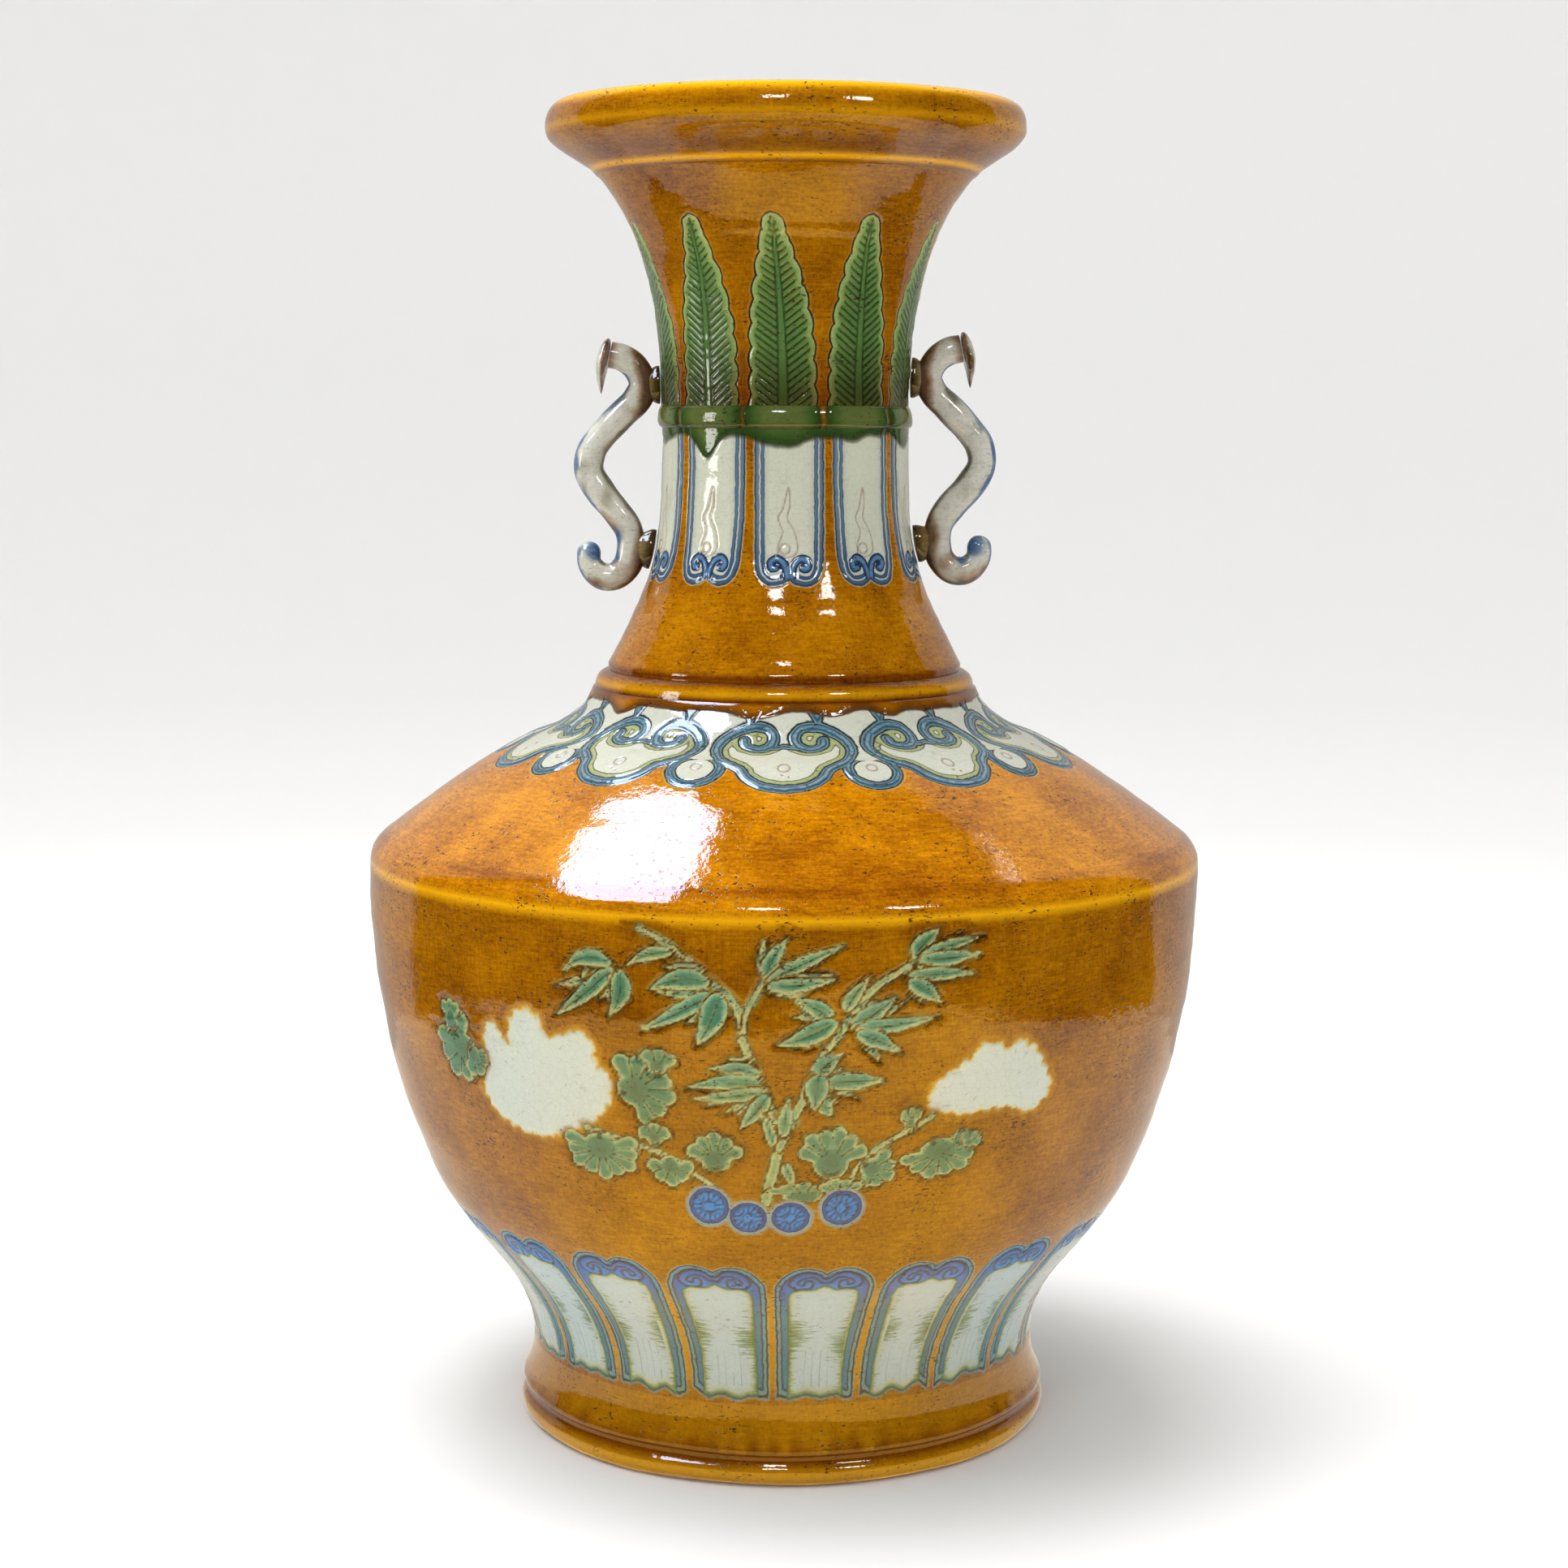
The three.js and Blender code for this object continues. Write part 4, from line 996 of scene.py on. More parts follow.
def lead_glaze(name, layers, amber=None):
    """A lead glaze fired over slip: glassy, with its colour in pools and streaks, and a fine crackle.

    Each layer is a field's name and its stops in millimetres from the shape's edge, inside above zero. A stop holds
    a colour and how much of it covers what is under it. A second list of stops is for places where the field pale is 1.
    """
    glazes = bpy.context.scene.vase_glazes
    material = bpy.data.materials.new(name)
    material.use_nodes = True
    tree = material.node_tree
    tree.nodes.clear()
    places = add(tree, "ShaderNodeTexCoord").outputs["Object"]
    mm = add(tree, "ShaderNodeVectorMath", {0: places, "Scale": 1000.0}, operation="SCALE").outputs[0]

    # Brushed and fired unevenness: clouds of about 40 mm, level brush marks and upright runs under a millimetre wide
    clouds = add(tree, "ShaderNodeTexNoise", {"Vector": mm, "Scale": 0.035, "Detail": 4.0, "Roughness": 0.6})
    level = add(tree, "ShaderNodeVectorMath", {0: mm, 1: (0.10, 0.10, 1.0)}, operation="MULTIPLY").outputs[0]
    brush = add(tree, "ShaderNodeTexNoise", {"Vector": level, "Scale": 1.7, "Detail": 4.0, "Roughness": 0.62})
    upright = add(tree, "ShaderNodeVectorMath", {0: mm, 1: (1.0, 1.0, 0.09)}, operation="MULTIPLY").outputs[0]
    runs = add(tree, "ShaderNodeTexNoise", {"Vector": upright, "Scale": 1.5, "Detail": 4.0, "Roughness": 0.62})
    grain = add(tree, "ShaderNodeTexNoise", {"Vector": mm, "Scale": 0.8, "Detail": 5.0, "Roughness": 0.7})
    mixed = add(tree, "ShaderNodeMath", {0: clouds.outputs[0], 1: 0.39}, operation="MULTIPLY").outputs[0]
    for marks, weight in ((brush, 0.31), (runs, 0.18), (grain, 0.32)):
        mixed = add(tree, "ShaderNodeMath", {0: marks.outputs[0], 1: weight, 2: mixed}, operation="MULTIPLY_ADD").outputs[0]
    # Painted light and shade: each section's amber is scaled by a factor of its own, lighter on the up-facing shoulder
    # and darker on the belly, upper neck, mouth, collar and foot
    share = {"cloud_collar_glaze": 1.3, "belly_glaze": 0.88, "leaf_band_glaze": 0.86, "amber_lead_glaze": 0.82}.get(name, 1)
    tones = amber or [[channel * share for channel in tone] for tone in (glazes.chestnut, glazes.amber, glazes.honey)]
    base = add(tree, "ShaderNodeValToRGB", {0: mixed}, [
        (0.49, (*tones[0], 1)), (0.60, (*tones[1], 1)), (0.71, (*tones[2], 1))]).outputs[0]

    ridge = add(tree, "ShaderNodeAttribute", attribute_name="ridge").outputs["Fac"]
    base = add(tree, "ShaderNodeMix", {0: ridge, 6: base, 7: (*glazes.yellow, 1)}, data_type="RGBA").outputs[2]

    # The edges of the painted areas wander where one glaze ran into another
    wander = add(tree, "ShaderNodeTexNoise", {"Vector": mm, "Scale": 0.38, "Detail": 3.0}).outputs[0]
    wander = add(tree, "ShaderNodeMath", {0: wander, 1: 0.5}, operation="SUBTRACT").outputs[0]
    pale = add(tree, "ShaderNodeAttribute", attribute_name="pale").outputs["Fac"]
    flow = add(tree, "ShaderNodeMapRange", {"Value": mixed, "From Min": 0.42, "From Max": 0.78, "To Min": 0.76,
                                            "To Max": 1.24}).outputs[0]
    slight = add(tree, "ShaderNodeMapRange", {"Value": mixed, "From Min": 0.42, "From Max": 0.78, "To Min": 0.93,
                                              "To Max": 1.06}).outputs[0]
    brushed = add(tree, "ShaderNodeMath", {0: brush.outputs[0], 1: 0.5}, operation="SUBTRACT").outputs[0]
    bright = add(tree, "ShaderNodeMath", {0: 0.0}, operation="ABSOLUTE").outputs[0]
    for field, *choices in layers:
        away = add(tree, "ShaderNodeAttribute", attribute_name=field).outputs["Fac"]
        drift, amount = (brushed, 9.0) if field == "moss" and name == "belly_glaze" else (wander, 1.0)
        if name == "belly_glaze" and field in ("white", "green"):
            amount = 3.2
        away = add(tree, "ShaderNodeMath", {0: drift, 1: amount, 2: away}, operation="MULTIPLY_ADD").outputs[0]
        ramps = []
        for stops in choices:
            low, high = stops[0][0], stops[-1][0]
            share = add(tree, "ShaderNodeMapRange", {"Value": away, "From Min": low, "From Max": high}).outputs[0]
            rows = [((stop - low) / (high - low), (*tone, cover)) for stop, tone, cover in stops]
            ramps.append(add(tree, "ShaderNodeValToRGB", {0: share}, rows).outputs)
        tone, cover = ramps[0]
        if len(ramps) > 1:
            tone = add(tree, "ShaderNodeMix", {0: pale, 6: tone, 7: ramps[1][0]}, data_type="RGBA").outputs[2]
            cover = add(tree, "ShaderNodeMix", {0: pale, 2: cover, 3: ramps[1][1]}, data_type="FLOAT").outputs[0]
        shade = slight if field in ("white", "window") else flow
        tone = add(tree, "ShaderNodeMix", {0: 1.0, 6: tone, 7: shade}, data_type="RGBA", blend_type="MULTIPLY").outputs[2]
        base = add(tree, "ShaderNodeMix", {0: cover, 6: base, 7: tone}, data_type="RGBA").outputs[2]
        if field in ("white", "window"):
            bright = add(tree, "ShaderNodeMath", {0: bright, 1: cover}, operation="MAXIMUM").outputs[0]
        else:
            hidden = add(tree, "ShaderNodeMath", {0: 1.0, 1: cover}, operation="SUBTRACT").outputs[0]
            bright = add(tree, "ShaderNodeMath", {0: bright, 1: hidden}, operation="MULTIPLY").outputs[0]

    # Fine lines cut before glazing, about 0.4 mm wide, hold a darker line of glaze
    cut = add(tree, "ShaderNodeAttribute", attribute_name="cut").outputs["Fac"]
    line = add(tree, "ShaderNodeMapRange", {"Value": cut, "From Min": -0.25, "From Max": 0.12}).outputs[0]
    worn = add(tree, "ShaderNodeMapRange", {"Value": grain.outputs[0], "From Min": 0.36, "From Max": 0.56,
                                            "To Min": 0.62, "To Max": 0.95}).outputs[0]
    line = add(tree, "ShaderNodeMath", {0: line, 1: worn}, operation="MULTIPLY").outputs[0]
    stroke = add(tree, "ShaderNodeMix", {0: bright, 6: (0.2, 0.17, 0.16, 1), 7: (0.55, 0.36, 0.38, 1)},
                 data_type="RGBA").outputs[2]
    dark = add(tree, "ShaderNodeMix", {0: 1.0, 6: base, 7: stroke}, data_type="RGBA", blend_type="MULTIPLY").outputs[2]
    base = add(tree, "ShaderNodeMix", {0: line, 6: base, 7: dark}, data_type="RGBA").outputs[2]
    pool = add(tree, "ShaderNodeAttribute", attribute_name="pool").outputs["Fac"]
    brown = add(tree, "ShaderNodeMix", {0: 1.0, 6: base, 7: (0.36, 0.165, 0.11, 1)}, data_type="RGBA",
                blend_type="MULTIPLY").outputs[2]
    base = add(tree, "ShaderNodeMix", {0: pool, 6: base, 7: brown}, data_type="RGBA").outputs[2]

    # Iron specks and pinholes, up to half a millimetre, thicker in some places than in others
    flat = add(tree, "ShaderNodeVectorMath", {0: mm, 1: (0.42, 0.42, 1.0)}, operation="MULTIPLY").outputs[0]
    dots = add(tree, "ShaderNodeTexNoise", {"Vector": flat, "Scale": 1.4, "Detail": 2.0, "Roughness": 0.5}).outputs[0]
    gather = add(tree, "ShaderNodeTexNoise", {"Vector": mm, "Scale": 0.06, "Detail": 3.0}).outputs[0]
    dots = add(tree, "ShaderNodeMath", {0: gather, 1: 0.36, 2: dots}, operation="MULTIPLY_ADD").outputs[0]
    speck = add(tree, "ShaderNodeMapRange", {"Value": dots, "From Min": 0.835, "From Max": 0.875}).outputs[0]
    faint = add(tree, "ShaderNodeMapRange", {"Value": bright, "To Min": 0.3 if amber else 0.8,
                                             "To Max": 0.12}).outputs[0]
    speck = add(tree, "ShaderNodeMath", {0: speck, 1: faint}, operation="MULTIPLY").outputs[0]
    base = add(tree, "ShaderNodeMix", {0: speck, 6: base, 7: (*linear("#2C1606"), 1)}, data_type="RGBA").outputs[2]

    # Crackle: hairlines that bound cells of about 3 mm
    bent = add(tree, "ShaderNodeTexNoise", {"Vector": mm, "Scale": 0.3, "Detail": 2.0}).outputs["Color"]
    bent = add(tree, "ShaderNodeVectorMath", {0: bent, 1: (1.6, 1.6, 1.6), 2: mm}, operation="MULTIPLY_ADD").outputs[0]
    crackle = add(tree, "ShaderNodeTexVoronoi", {"Vector": bent, "Scale": 0.36}, feature="DISTANCE_TO_EDGE")
    hair = add(tree, "ShaderNodeMapRange", {"Value": crackle.outputs["Distance"], "From Min": 0.0, "From Max": 0.035,
                                            "To Min": 0.16, "To Max": 0.0}).outputs[0]
    base = add(tree, "ShaderNodeMix", {0: hair, 6: base, 7: (*linear("#3A240E"), 1)}, data_type="RGBA").outputs[2]

    bare = add(tree, "ShaderNodeAttribute", attribute_name="bare").outputs["Fac"]
    grit = add(tree, "ShaderNodeTexNoise", {"Vector": mm, "Scale": 1.4, "Detail": 6.0, "Roughness": 0.7}).outputs[0]
    clay = add(tree, "ShaderNodeValToRGB", {0: grit}, [
        (0.3, (*linear("#A78962"), 1)), (0.7, (*glazes.clay, 1))]).outputs[0]
    base = add(tree, "ShaderNodeMix", {0: bare, 6: base, 7: clay}, data_type="RGBA").outputs[2]

    # Surface: the glaze follows the brush marks a little, sinks at specks and hairlines, and is dull where it is bare
    swell = add(tree, "ShaderNodeTexNoise", {"Vector": mm, "Scale": 0.3, "Detail": 3.0, "Roughness": 0.5}).outputs[0]
    height = add(tree, "ShaderNodeMath", {0: swell, 1: 0.13}, operation="MULTIPLY").outputs[0]
    pits = add(tree, "ShaderNodeTexNoise", {"Vector": mm, "Scale": 1.1, "Detail": 3.0, "Roughness": 0.6}).outputs[0]
    height = add(tree, "ShaderNodeMath", {0: pits, 1: 0.016, 2: height}, operation="MULTIPLY_ADD").outputs[0]
    height = add(tree, "ShaderNodeMath", {0: line, 1: -0.10, 2: height}, operation="MULTIPLY_ADD").outputs[0]
    height = add(tree, "ShaderNodeMath", {0: speck, 1: -0.05, 2: height}, operation="MULTIPLY_ADD").outputs[0]
    rough_clay = add(tree, "ShaderNodeMath", {0: grit, 1: bare}, operation="MULTIPLY").outputs[0]
    height = add(tree, "ShaderNodeMath", {0: rough_clay, 1: 0.25, 2: height}, operation="MULTIPLY_ADD").outputs[0]
    bump = add(tree, "ShaderNodeBump", {"Height": height, "Distance": MM, "Strength": 0.7}).outputs[0]
    dull = add(tree, "ShaderNodeMapRange", {"Value": clouds.outputs[0], "From Min": 0.3, "From Max": 0.7,
                                            "To Min": 0.01, "To Max": 0.03}).outputs[0]
    dull = add(tree, "ShaderNodeMix", {0: bare, 2: dull, 3: 0.85}, data_type="FLOAT").outputs[0]
    shader = add(tree, "ShaderNodeBsdfPrincipled", {
        "Base Color": base, "Roughness": dull, "Normal": bump, "IOR": 1.62, "Specular IOR Level": 0.5})
    add(tree, "ShaderNodeOutputMaterial", {"Surface": shader.outputs[0]})
    return material


def glaze_materials():
    """The finishes of the vase, each made once."""
    g = bpy.context.scene.vase_glazes
    dark = tuple(g.outline)
    tan = linear("#A87A30")
    leaf = [(-1.5, tan, 0.0), (-0.7, tan, 0.6), (-0.4, dark, 0.95), (-0.05, dark, 0.95), (0.25, g.pale_green, 1.0),
            (1.3, linear("#7E9656"), 1.0), (2.1, g.leaf_green, 1.0), (6.0, linear("#54763E"), 1.0)]
    leaf_tip = [(-1.5, tan, 0.0), (-0.7, tan, 0.5), (-0.4, dark, 0.9), (-0.05, dark, 0.9), (0.25, linear("#B3B673"), 1.0),
                (1.3, linear("#9AA862"), 1.0), (2.1, linear("#7C9A55"), 1.0), (6.0, linear("#5E8A48"), 1.0)]
    run = [(-1.4, linear("#6B5A22"), 0.0), (-0.5, linear("#44461C"), 0.7), (0.3, linear("#243416"), 0.95),
           (1.6, linear("#2C481A"), 1.0), (3.6, linear("#3F5826"), 1.0), (7.0, linear("#5A6634"), 1.0)]
    panel = [(-1.1, linear("#C8C29A"), 0.0), (-0.6, linear("#A8AC8E"), 0.7), (-0.35, linear("#333F50"), 0.95),
             (-0.05, linear("#333F50"), 1.0), (0.2, linear("#465C70"), 1.0), (1.05, linear("#485F74"), 1.0),
             (1.3, linear("#AEBBBE"), 1.0), (1.55, linear("#AEBBBE"), 1.0), (1.8, linear("#253C5C"), 1.0),
             (2.0, linear("#3A5270"), 1.0), (2.6, linear("#425A76"), 1.0), (2.85, linear("#22354E"), 1.0),
             (3.15, linear("#B9BEB0"), 1.0), (5.0, g.straw_white, 1.0)]
    panel_high = [(-1.1, linear("#C8C29A"), 0.0), (-0.6, linear("#A8AC8E"), 0.7), (-0.35, linear("#3B444C"), 0.95),
                  (-0.05, linear("#3B444C"), 1.0), (0.2, linear("#66798A"), 1.0), (1.05, linear("#66798A"), 1.0),
                  (1.3, linear("#B7BFB8"), 1.0), (1.55, linear("#B7BFB8"), 1.0), (1.8, linear("#3A4B5E"), 1.0),
                  (2.0, linear("#586E82"), 1.0), (2.6, linear("#607688"), 1.0), (2.85, linear("#384858"), 1.0),
                  (3.15, linear("#B9BEB0"), 1.0), (5.0, g.straw_white, 1.0)]
    curl = [(-0.5, linear("#5A7086"), 0.0), (-0.2, linear("#1E3350"), 1.0), (0.12, linear("#1E3350"), 1.0),
            (0.4, linear("#3A5A80"), 1.0), (0.9, linear("#5E80A0"), 1.0)]
    collar_run = [(-0.8, linear("#6E4A14"), 0.0), (-0.1, linear("#4A2A0A"), 0.95), (1.2, linear("#6E3F08"), 1.0),
                  (3.5, g.amber, 1.0)]
    cloud_white = [(-1.3, g.yellow, 0.0), (-0.6, linear("#A89A5C"), 0.9), (-0.1, linear("#B4B69E"), 1.0),
                   (4.0, linear("#C4C7B8"), 1.0)]
    cloud_blue = [(-0.8, linear("#80908A"), 0.0), (-0.45, linear("#16202E"), 0.95), (-0.05, linear("#16202E"), 1.0),
                  (0.2, linear("#728C8A"), 1.0), (0.6, linear("#446470"), 1.0), (0.95, linear("#26445E"), 1.0),
                  (1.2, linear("#4C7286"), 1.0), (1.75, linear("#84A0A2"), 1.0)]
    cloud_grey = [(-0.8, linear("#80908A"), 0.0), (-0.45, linear("#222C34"), 0.95), (-0.05, linear("#222C34"), 1.0),
                  (0.2, linear("#728A8E"), 1.0), (0.6, linear("#4A6678"), 1.0), (0.95, linear("#2E4A62"), 1.0),
                  (1.2, linear("#4C6C84"), 1.0), (1.6, linear("#7C949A"), 1.0)]
    trim = [(-0.35, linear("#55502A"), 0.0), (-0.15, linear("#3E3A1E"), 0.85), (0.1, linear("#3E3A1E"), 0.85),
            (0.35, linear("#9EA26A"), 1.0), (1.0, linear("#98A272"), 1.0), (2.0, linear("#8A9C74"), 1.0)]
    spray_leaf = [(-2.4, linear("#A8700C"), 0.0), (-1.3, linear("#96680E"), 0.35), (-0.5, linear("#86803A"), 0.75),
                  (0.15, linear("#A8B27C"), 1.0), (0.8, linear("#86A680"), 1.0), (1.6, linear("#649476"), 1.0),
                  (2.8, linear("#4C7A5E"), 1.0)]
    spray_olive = [(-2.4, linear("#A8700C"), 0.0), (-1.3, linear("#8A5A0A"), 0.45), (-0.5, linear("#7C6C26"), 0.8),
                   (0.15, linear("#C0B87C"), 1.0), (0.8, linear("#A4AA6C"), 1.0), (1.6, linear("#82965C"), 1.0),
                   (2.8, linear("#60804E"), 1.0)]
    mum = [(-2.6, g.yellow, 0.0), (-1.3, linear("#BC8210"), 0.6), (-0.5, linear("#D09E2C"), 0.9),
           (0.2, linear("#D2C48C"), 1.0), (1.0, linear("#CAD0BE"), 1.0), (6.0, linear("#C8CEC0"), 1.0)]
    stone = [(-2.0, linear("#8E9C7A"), 0.0), (-1.0, linear("#8A9E8E"), 0.75), (-0.45, linear("#7898A0"), 0.9),
             (-0.15, linear("#0C2248"), 1.0), (0.3, linear("#005498"), 1.0), (2.0, linear("#107CBE"), 1.0)]
    lappet = [(-1.3, linear("#7F9484"), 0.0), (-0.7, linear("#76928A"), 0.85), (-0.45, linear("#1E2B3C"), 1.0),
              (-0.1, linear("#1E2B3C"), 1.0), (0.15, linear("#4A90A2"), 1.0), (0.85, linear("#3A84A0"), 1.0),
              (1.05, linear("#082C50"), 1.0), (1.35, linear("#082C50"), 1.0), (1.65, linear("#085C9C"), 1.0),
              (3.2, linear("#0A68B0"), 1.0), (6.0, linear("#187CC2"), 1.0)]
    lappet_side = [(-1.3, linear("#7F9484"), 0.0), (-0.7, linear("#7A9288"), 0.85), (-0.45, linear("#223038"), 1.0),
                   (-0.1, linear("#223038"), 1.0), (0.15, linear("#5A9494"), 1.0), (0.85, linear("#508E90"), 1.0),
                   (1.05, linear("#1E3E58"), 1.0), (1.35, linear("#1E3E58"), 1.0), (1.65, linear("#2E7890"), 1.0),
                   (3.2, linear("#2C7688"), 1.0), (6.0, linear("#287480"), 1.0)]
    window = [(-0.9, linear("#2F6660"), 0.0), (-0.35, linear("#2F5E50"), 0.9), (0.1, linear("#6F9066"), 1.0),
              (0.8, linear("#B4BCA0"), 1.0), (2.0, linear("#B4C6C2"), 1.0), (6.0, linear("#B8CAC8"), 1.0)]
    moss = [(-0.3, g.leaf_green, 0.0), (0.6, linear("#56803C"), 0.55), (2.0, linear("#3F6A2E"), 0.85)]
    rows = {
        "amber_lead_glaze": [],
        "leaf_band_glaze": [("green", leaf, leaf_tip)],
        "green_run_glaze": [("green", run)],
        "panel_band_glaze": [("white", panel, panel_high), ("blue", curl), ("green", run)],
        "cloud_collar_glaze": [("white", cloud_white), ("moss", trim), ("blue", cloud_blue, cloud_grey), ("green", collar_run)],
        "belly_glaze": [("white", mum), ("green", spray_leaf, spray_olive), ("blue", stone),
                        ("lappet", lappet, lappet_side),
                        ("window", window), ("moss", moss)],
    }
    return {name: lead_glaze(name, layers) for name, layers in rows.items()}


def handle_materials():
    """Grey-white glaze with amber, olive and blue on the rods, the olive and blue also painting shade along the rods'
    sides, and brown pooled glaze on the luted pads.
    """
    g = bpy.context.scene.vase_glazes
    tones = (linear("#BFBEAE"), linear("#CFCEC1"), g.rod_white)
    stain = [(-0.6, linear("#A08A5C"), 0.0), (0.4, linear("#8A5C22"), 0.6), (1.4, linear("#5E340C"), 0.9)]
    olive = [(-0.6, linear("#8B8560"), 0.0), (0.5, linear("#5A5228"), 0.75), (1.6, linear("#2F2910"), 0.95)]
    blue = [(-0.2, linear("#8FA3AE"), 0.0), (0.6, linear("#4F7396"), 0.8), (1.6, linear("#2A5384"), 0.95)]
    rod = lead_glaze("scroll_handle_glaze", [("green", olive), ("blue", blue), ("stain", stain)], amber=tones)
    pooled = (linear("#6E5226"), linear("#8A7244"), linear("#A39670"))
    pads = lead_glaze("luted_joint_glaze", [("green", olive)], amber=pooled)
    return rod, pads


# Operators

class VASE_OT_thrown_sections(bpy.types.Operator):
    """Throws the eight sections of the vase, carves them and glazes them."""

    bl_idname = "vase.thrown_sections"
    bl_label = "Thrown sections"

    def execute(self, context):
        sizes = context.scene.vase_sizes
        outlines = section_outlines(sizes)
        insides = inner_surfaces(sizes, outlines)
        glazes = glaze_materials()
        rows = [
            ("foot_ring", "amber_lead_glaze", "amber_glaze", 320, 1.0, draw_foot, ()),
            ("shoulder", "cloud_collar_glaze", "amber_glaze", 332, 2.0, draw_clouds, (2.0, 0.6)),
            ("neck_collar", "amber_lead_glaze", "amber_glaze", 320, 0.6, draw_collar, ()),
            ("lower_neck", "panel_band_glaze", "white_glaze", 256, 1.1, draw_panels, (2.5,)),
            ("neck_band", "green_run_glaze", "green_glaze", 384, 0.5, draw_band, ()),
            ("upper_neck", "leaf_band_glaze", "amber_glaze", 256, 1.0, draw_leaves, (2.5,)),
            ("mouth_rim", "amber_lead_glaze", "amber_glaze", 384, 0.8, draw_mouth, ()),
        ]
        for name, glaze, slot_name, columns, step, draw, refinements in rows:
            make_section(name, glazes[glaze], slot_name, outlines[name], insides[name][::-1], columns, step, draw,
                         refinements)
        outer = outlines["lower_body"]
        under = np.column_stack([np.linspace(0, outer[0, 0], 6)[:-1], np.full(5, outer[0, 1])])
        make_section("lower_body", glazes["belly_glaze"], "amber_glaze", outer, bowl_inside(sizes, outer)[1:], 264, 3.15,
                     draw_belly, (2.2, 0.4), under=under)
        return {"FINISHED"}


def scroll_seats(sizes, outlines, lift):
    """Where a handle's two bends are luted on: radius of the rod's centre line, and height."""
    neck = np.vstack([outlines[name] for name in ("lower_neck", "neck_band", "upper_neck")])
    rod = sizes.rod_radius / MM
    upper_z = levels(sizes)["mouth"] - sizes.seat_drop / MM + lift
    lower_z = upper_z - sizes.seat_span / MM
    seats = []
    for height, bed in ((upper_z, 1.3), (lower_z, 2.6)):
        radius = max(np.interp([height - 3, height + 3], neck[:, 1], neck[:, 0]))
        seats.append((radius + bed + rod, height))
    return seats


def scroll_path(sizes, seats):
    """The centre line of a scroll: head, upper bend, S, lower bend, curled end."""
    (ux, uz), (lx, lz) = seats
    outer = ux + sizes.scroll_reach / MM
    middle = (uz + lz) / 2
    points = np.array([
        (ux + 11, uz + 10), (ux + 7.26, uz + 9.2), (ux + 2.64, uz + 6), (ux, uz), (ux + 2.1, uz - 5.2),
        (ux + 6.6, uz - 9.6), (outer - 5, middle + 10.8), (outer - 1, middle + 5), (outer - 0.2, middle - 1.6),
        (outer - 4.4, middle - 9), (lx + 5, lz + 12.4), (lx + 1, lz + 6.4), (lx, lz), (lx + 1.4, lz - 5.8),
        (lx + 5.4, lz - 9.6), (lx + 10.2, lz - 9.6), (lx + 14.2, lz - 5.4), (lx + 14.2, lz + 2.2)])
    points = np.vstack([2 * points[0] - points[1], points, 2 * points[-1] - points[-2]])
    parts = []
    for a, b, c, d in zip(points, points[1:], points[2:], points[3:]):
        knots = np.cumsum([0, *(np.linalg.norm(q - p) ** 0.5 for p, q in ((a, b), (b, c), (c, d)))])
        t = np.linspace(knots[1], knots[2], 24, endpoint=False)[:, None]
        t0, t1, t2, t3 = knots
        ab, bc, cd = a + (b - a) * (t - t0) / (t1 - t0), b + (c - b) * (t - t1) / (t2 - t1), c + (d - c) * (t - t2) / (t3 - t2)
        abc, bcd = ab + (bc - ab) * (t - t0) / (t2 - t0), bc + (cd - bc) * (t - t1) / (t3 - t1)
        parts.append(abc + (bcd - abc) * (t - t1) / (t2 - t1))
    return spaced(np.vstack([*parts, points[-2:-1]]), 0.5)


def rolled_rod(path, sizes, seed):
    """A rod rolled by hand along a path in the XZ plane, with a rounded tip; keeps run and angle on each vertex."""
    run = run_along(path)
    rod, bulge, tip = sizes.rod_radius / MM, sizes.rod_radius / MM + 0.4, sizes.rod_radius / MM - 0.5
    straight = run[-1] - tip
    stations = np.concatenate([np.arange(0, straight, 0.75), straight + tip * np.sin(np.radians(np.arange(0, 90, 9)))])
    rng = np.random.default_rng(seed)
    wave = rng.uniform(0, math.tau, 8)
    sides = 36
    bm = bmesh.new()
    layers = {name: bm.verts.layers.float.new(name) for name in ("run", "angle")}
    tangent = np.gradient(path, axis=0)
    ring = before = None
    for station in stations:
        share = station / run[-1]
        body = rod + (bulge - rod) * math.sin(math.pi * min(share / 0.92, 1))
        radius = body + (tip - body) * float(ease(np.array(share), 0.86, 1))
        past = max(station - straight, 0) / tip
        radius *= math.sqrt(max(1 - past * past, 0.0004))
        radius -= (0.16 + 0.14 * math.sin(station / 5.3 + wave[0]) + 0.08 * math.sin(station / 2.1 + wave[1])) * (1 - past)
        centre = [np.interp(station, run, path[:, k]) for k in (0, 1)]
        along = [np.interp(station, run, tangent[:, k]) for k in (0, 1)]
        lean = math.atan2(along[0], along[1])
        place = (Matrix.Translation((centre[0] * MM, 0, centre[1] * MM)) @ Matrix.Rotation(lean, 4, "Y")
                 @ Matrix.Diagonal((radius * MM, radius * MM * (1.0 - 0.05 * math.sin(station / 9 + wave[2])), 1, 1)))
        if ring is None:
            ring = bmesh.ops.create_circle(bm, segments=sides, radius=1.0, cap_ends=False)["verts"]
            for number, vert in enumerate(ring):
                vert[layers["angle"]] = math.degrees(math.atan2(vert.co.y, vert.co.x)) % 360
            bmesh.ops.transform(bm, matrix=place, verts=ring)
            edges = list(bm.edges)
            bmesh.ops.contextual_create(bm, geom=edges)
        else:
            made = bmesh.ops.extrude_edge_only(bm, edges=edges)["geom"]
            ring = [item for item in made if isinstance(item, bmesh.types.BMVert)]
            edges = [item for item in made if isinstance(item, bmesh.types.BMEdge)]
            bmesh.ops.transform(bm, matrix=place @ before.inverted(), verts=ring)
        for vert in ring:
            vert[layers["run"]] = station
        before = place
    bmesh.ops.contextual_create(bm, geom=edges)
    bmesh.ops.recalc_face_normals(bm, faces=bm.faces)
    return bm


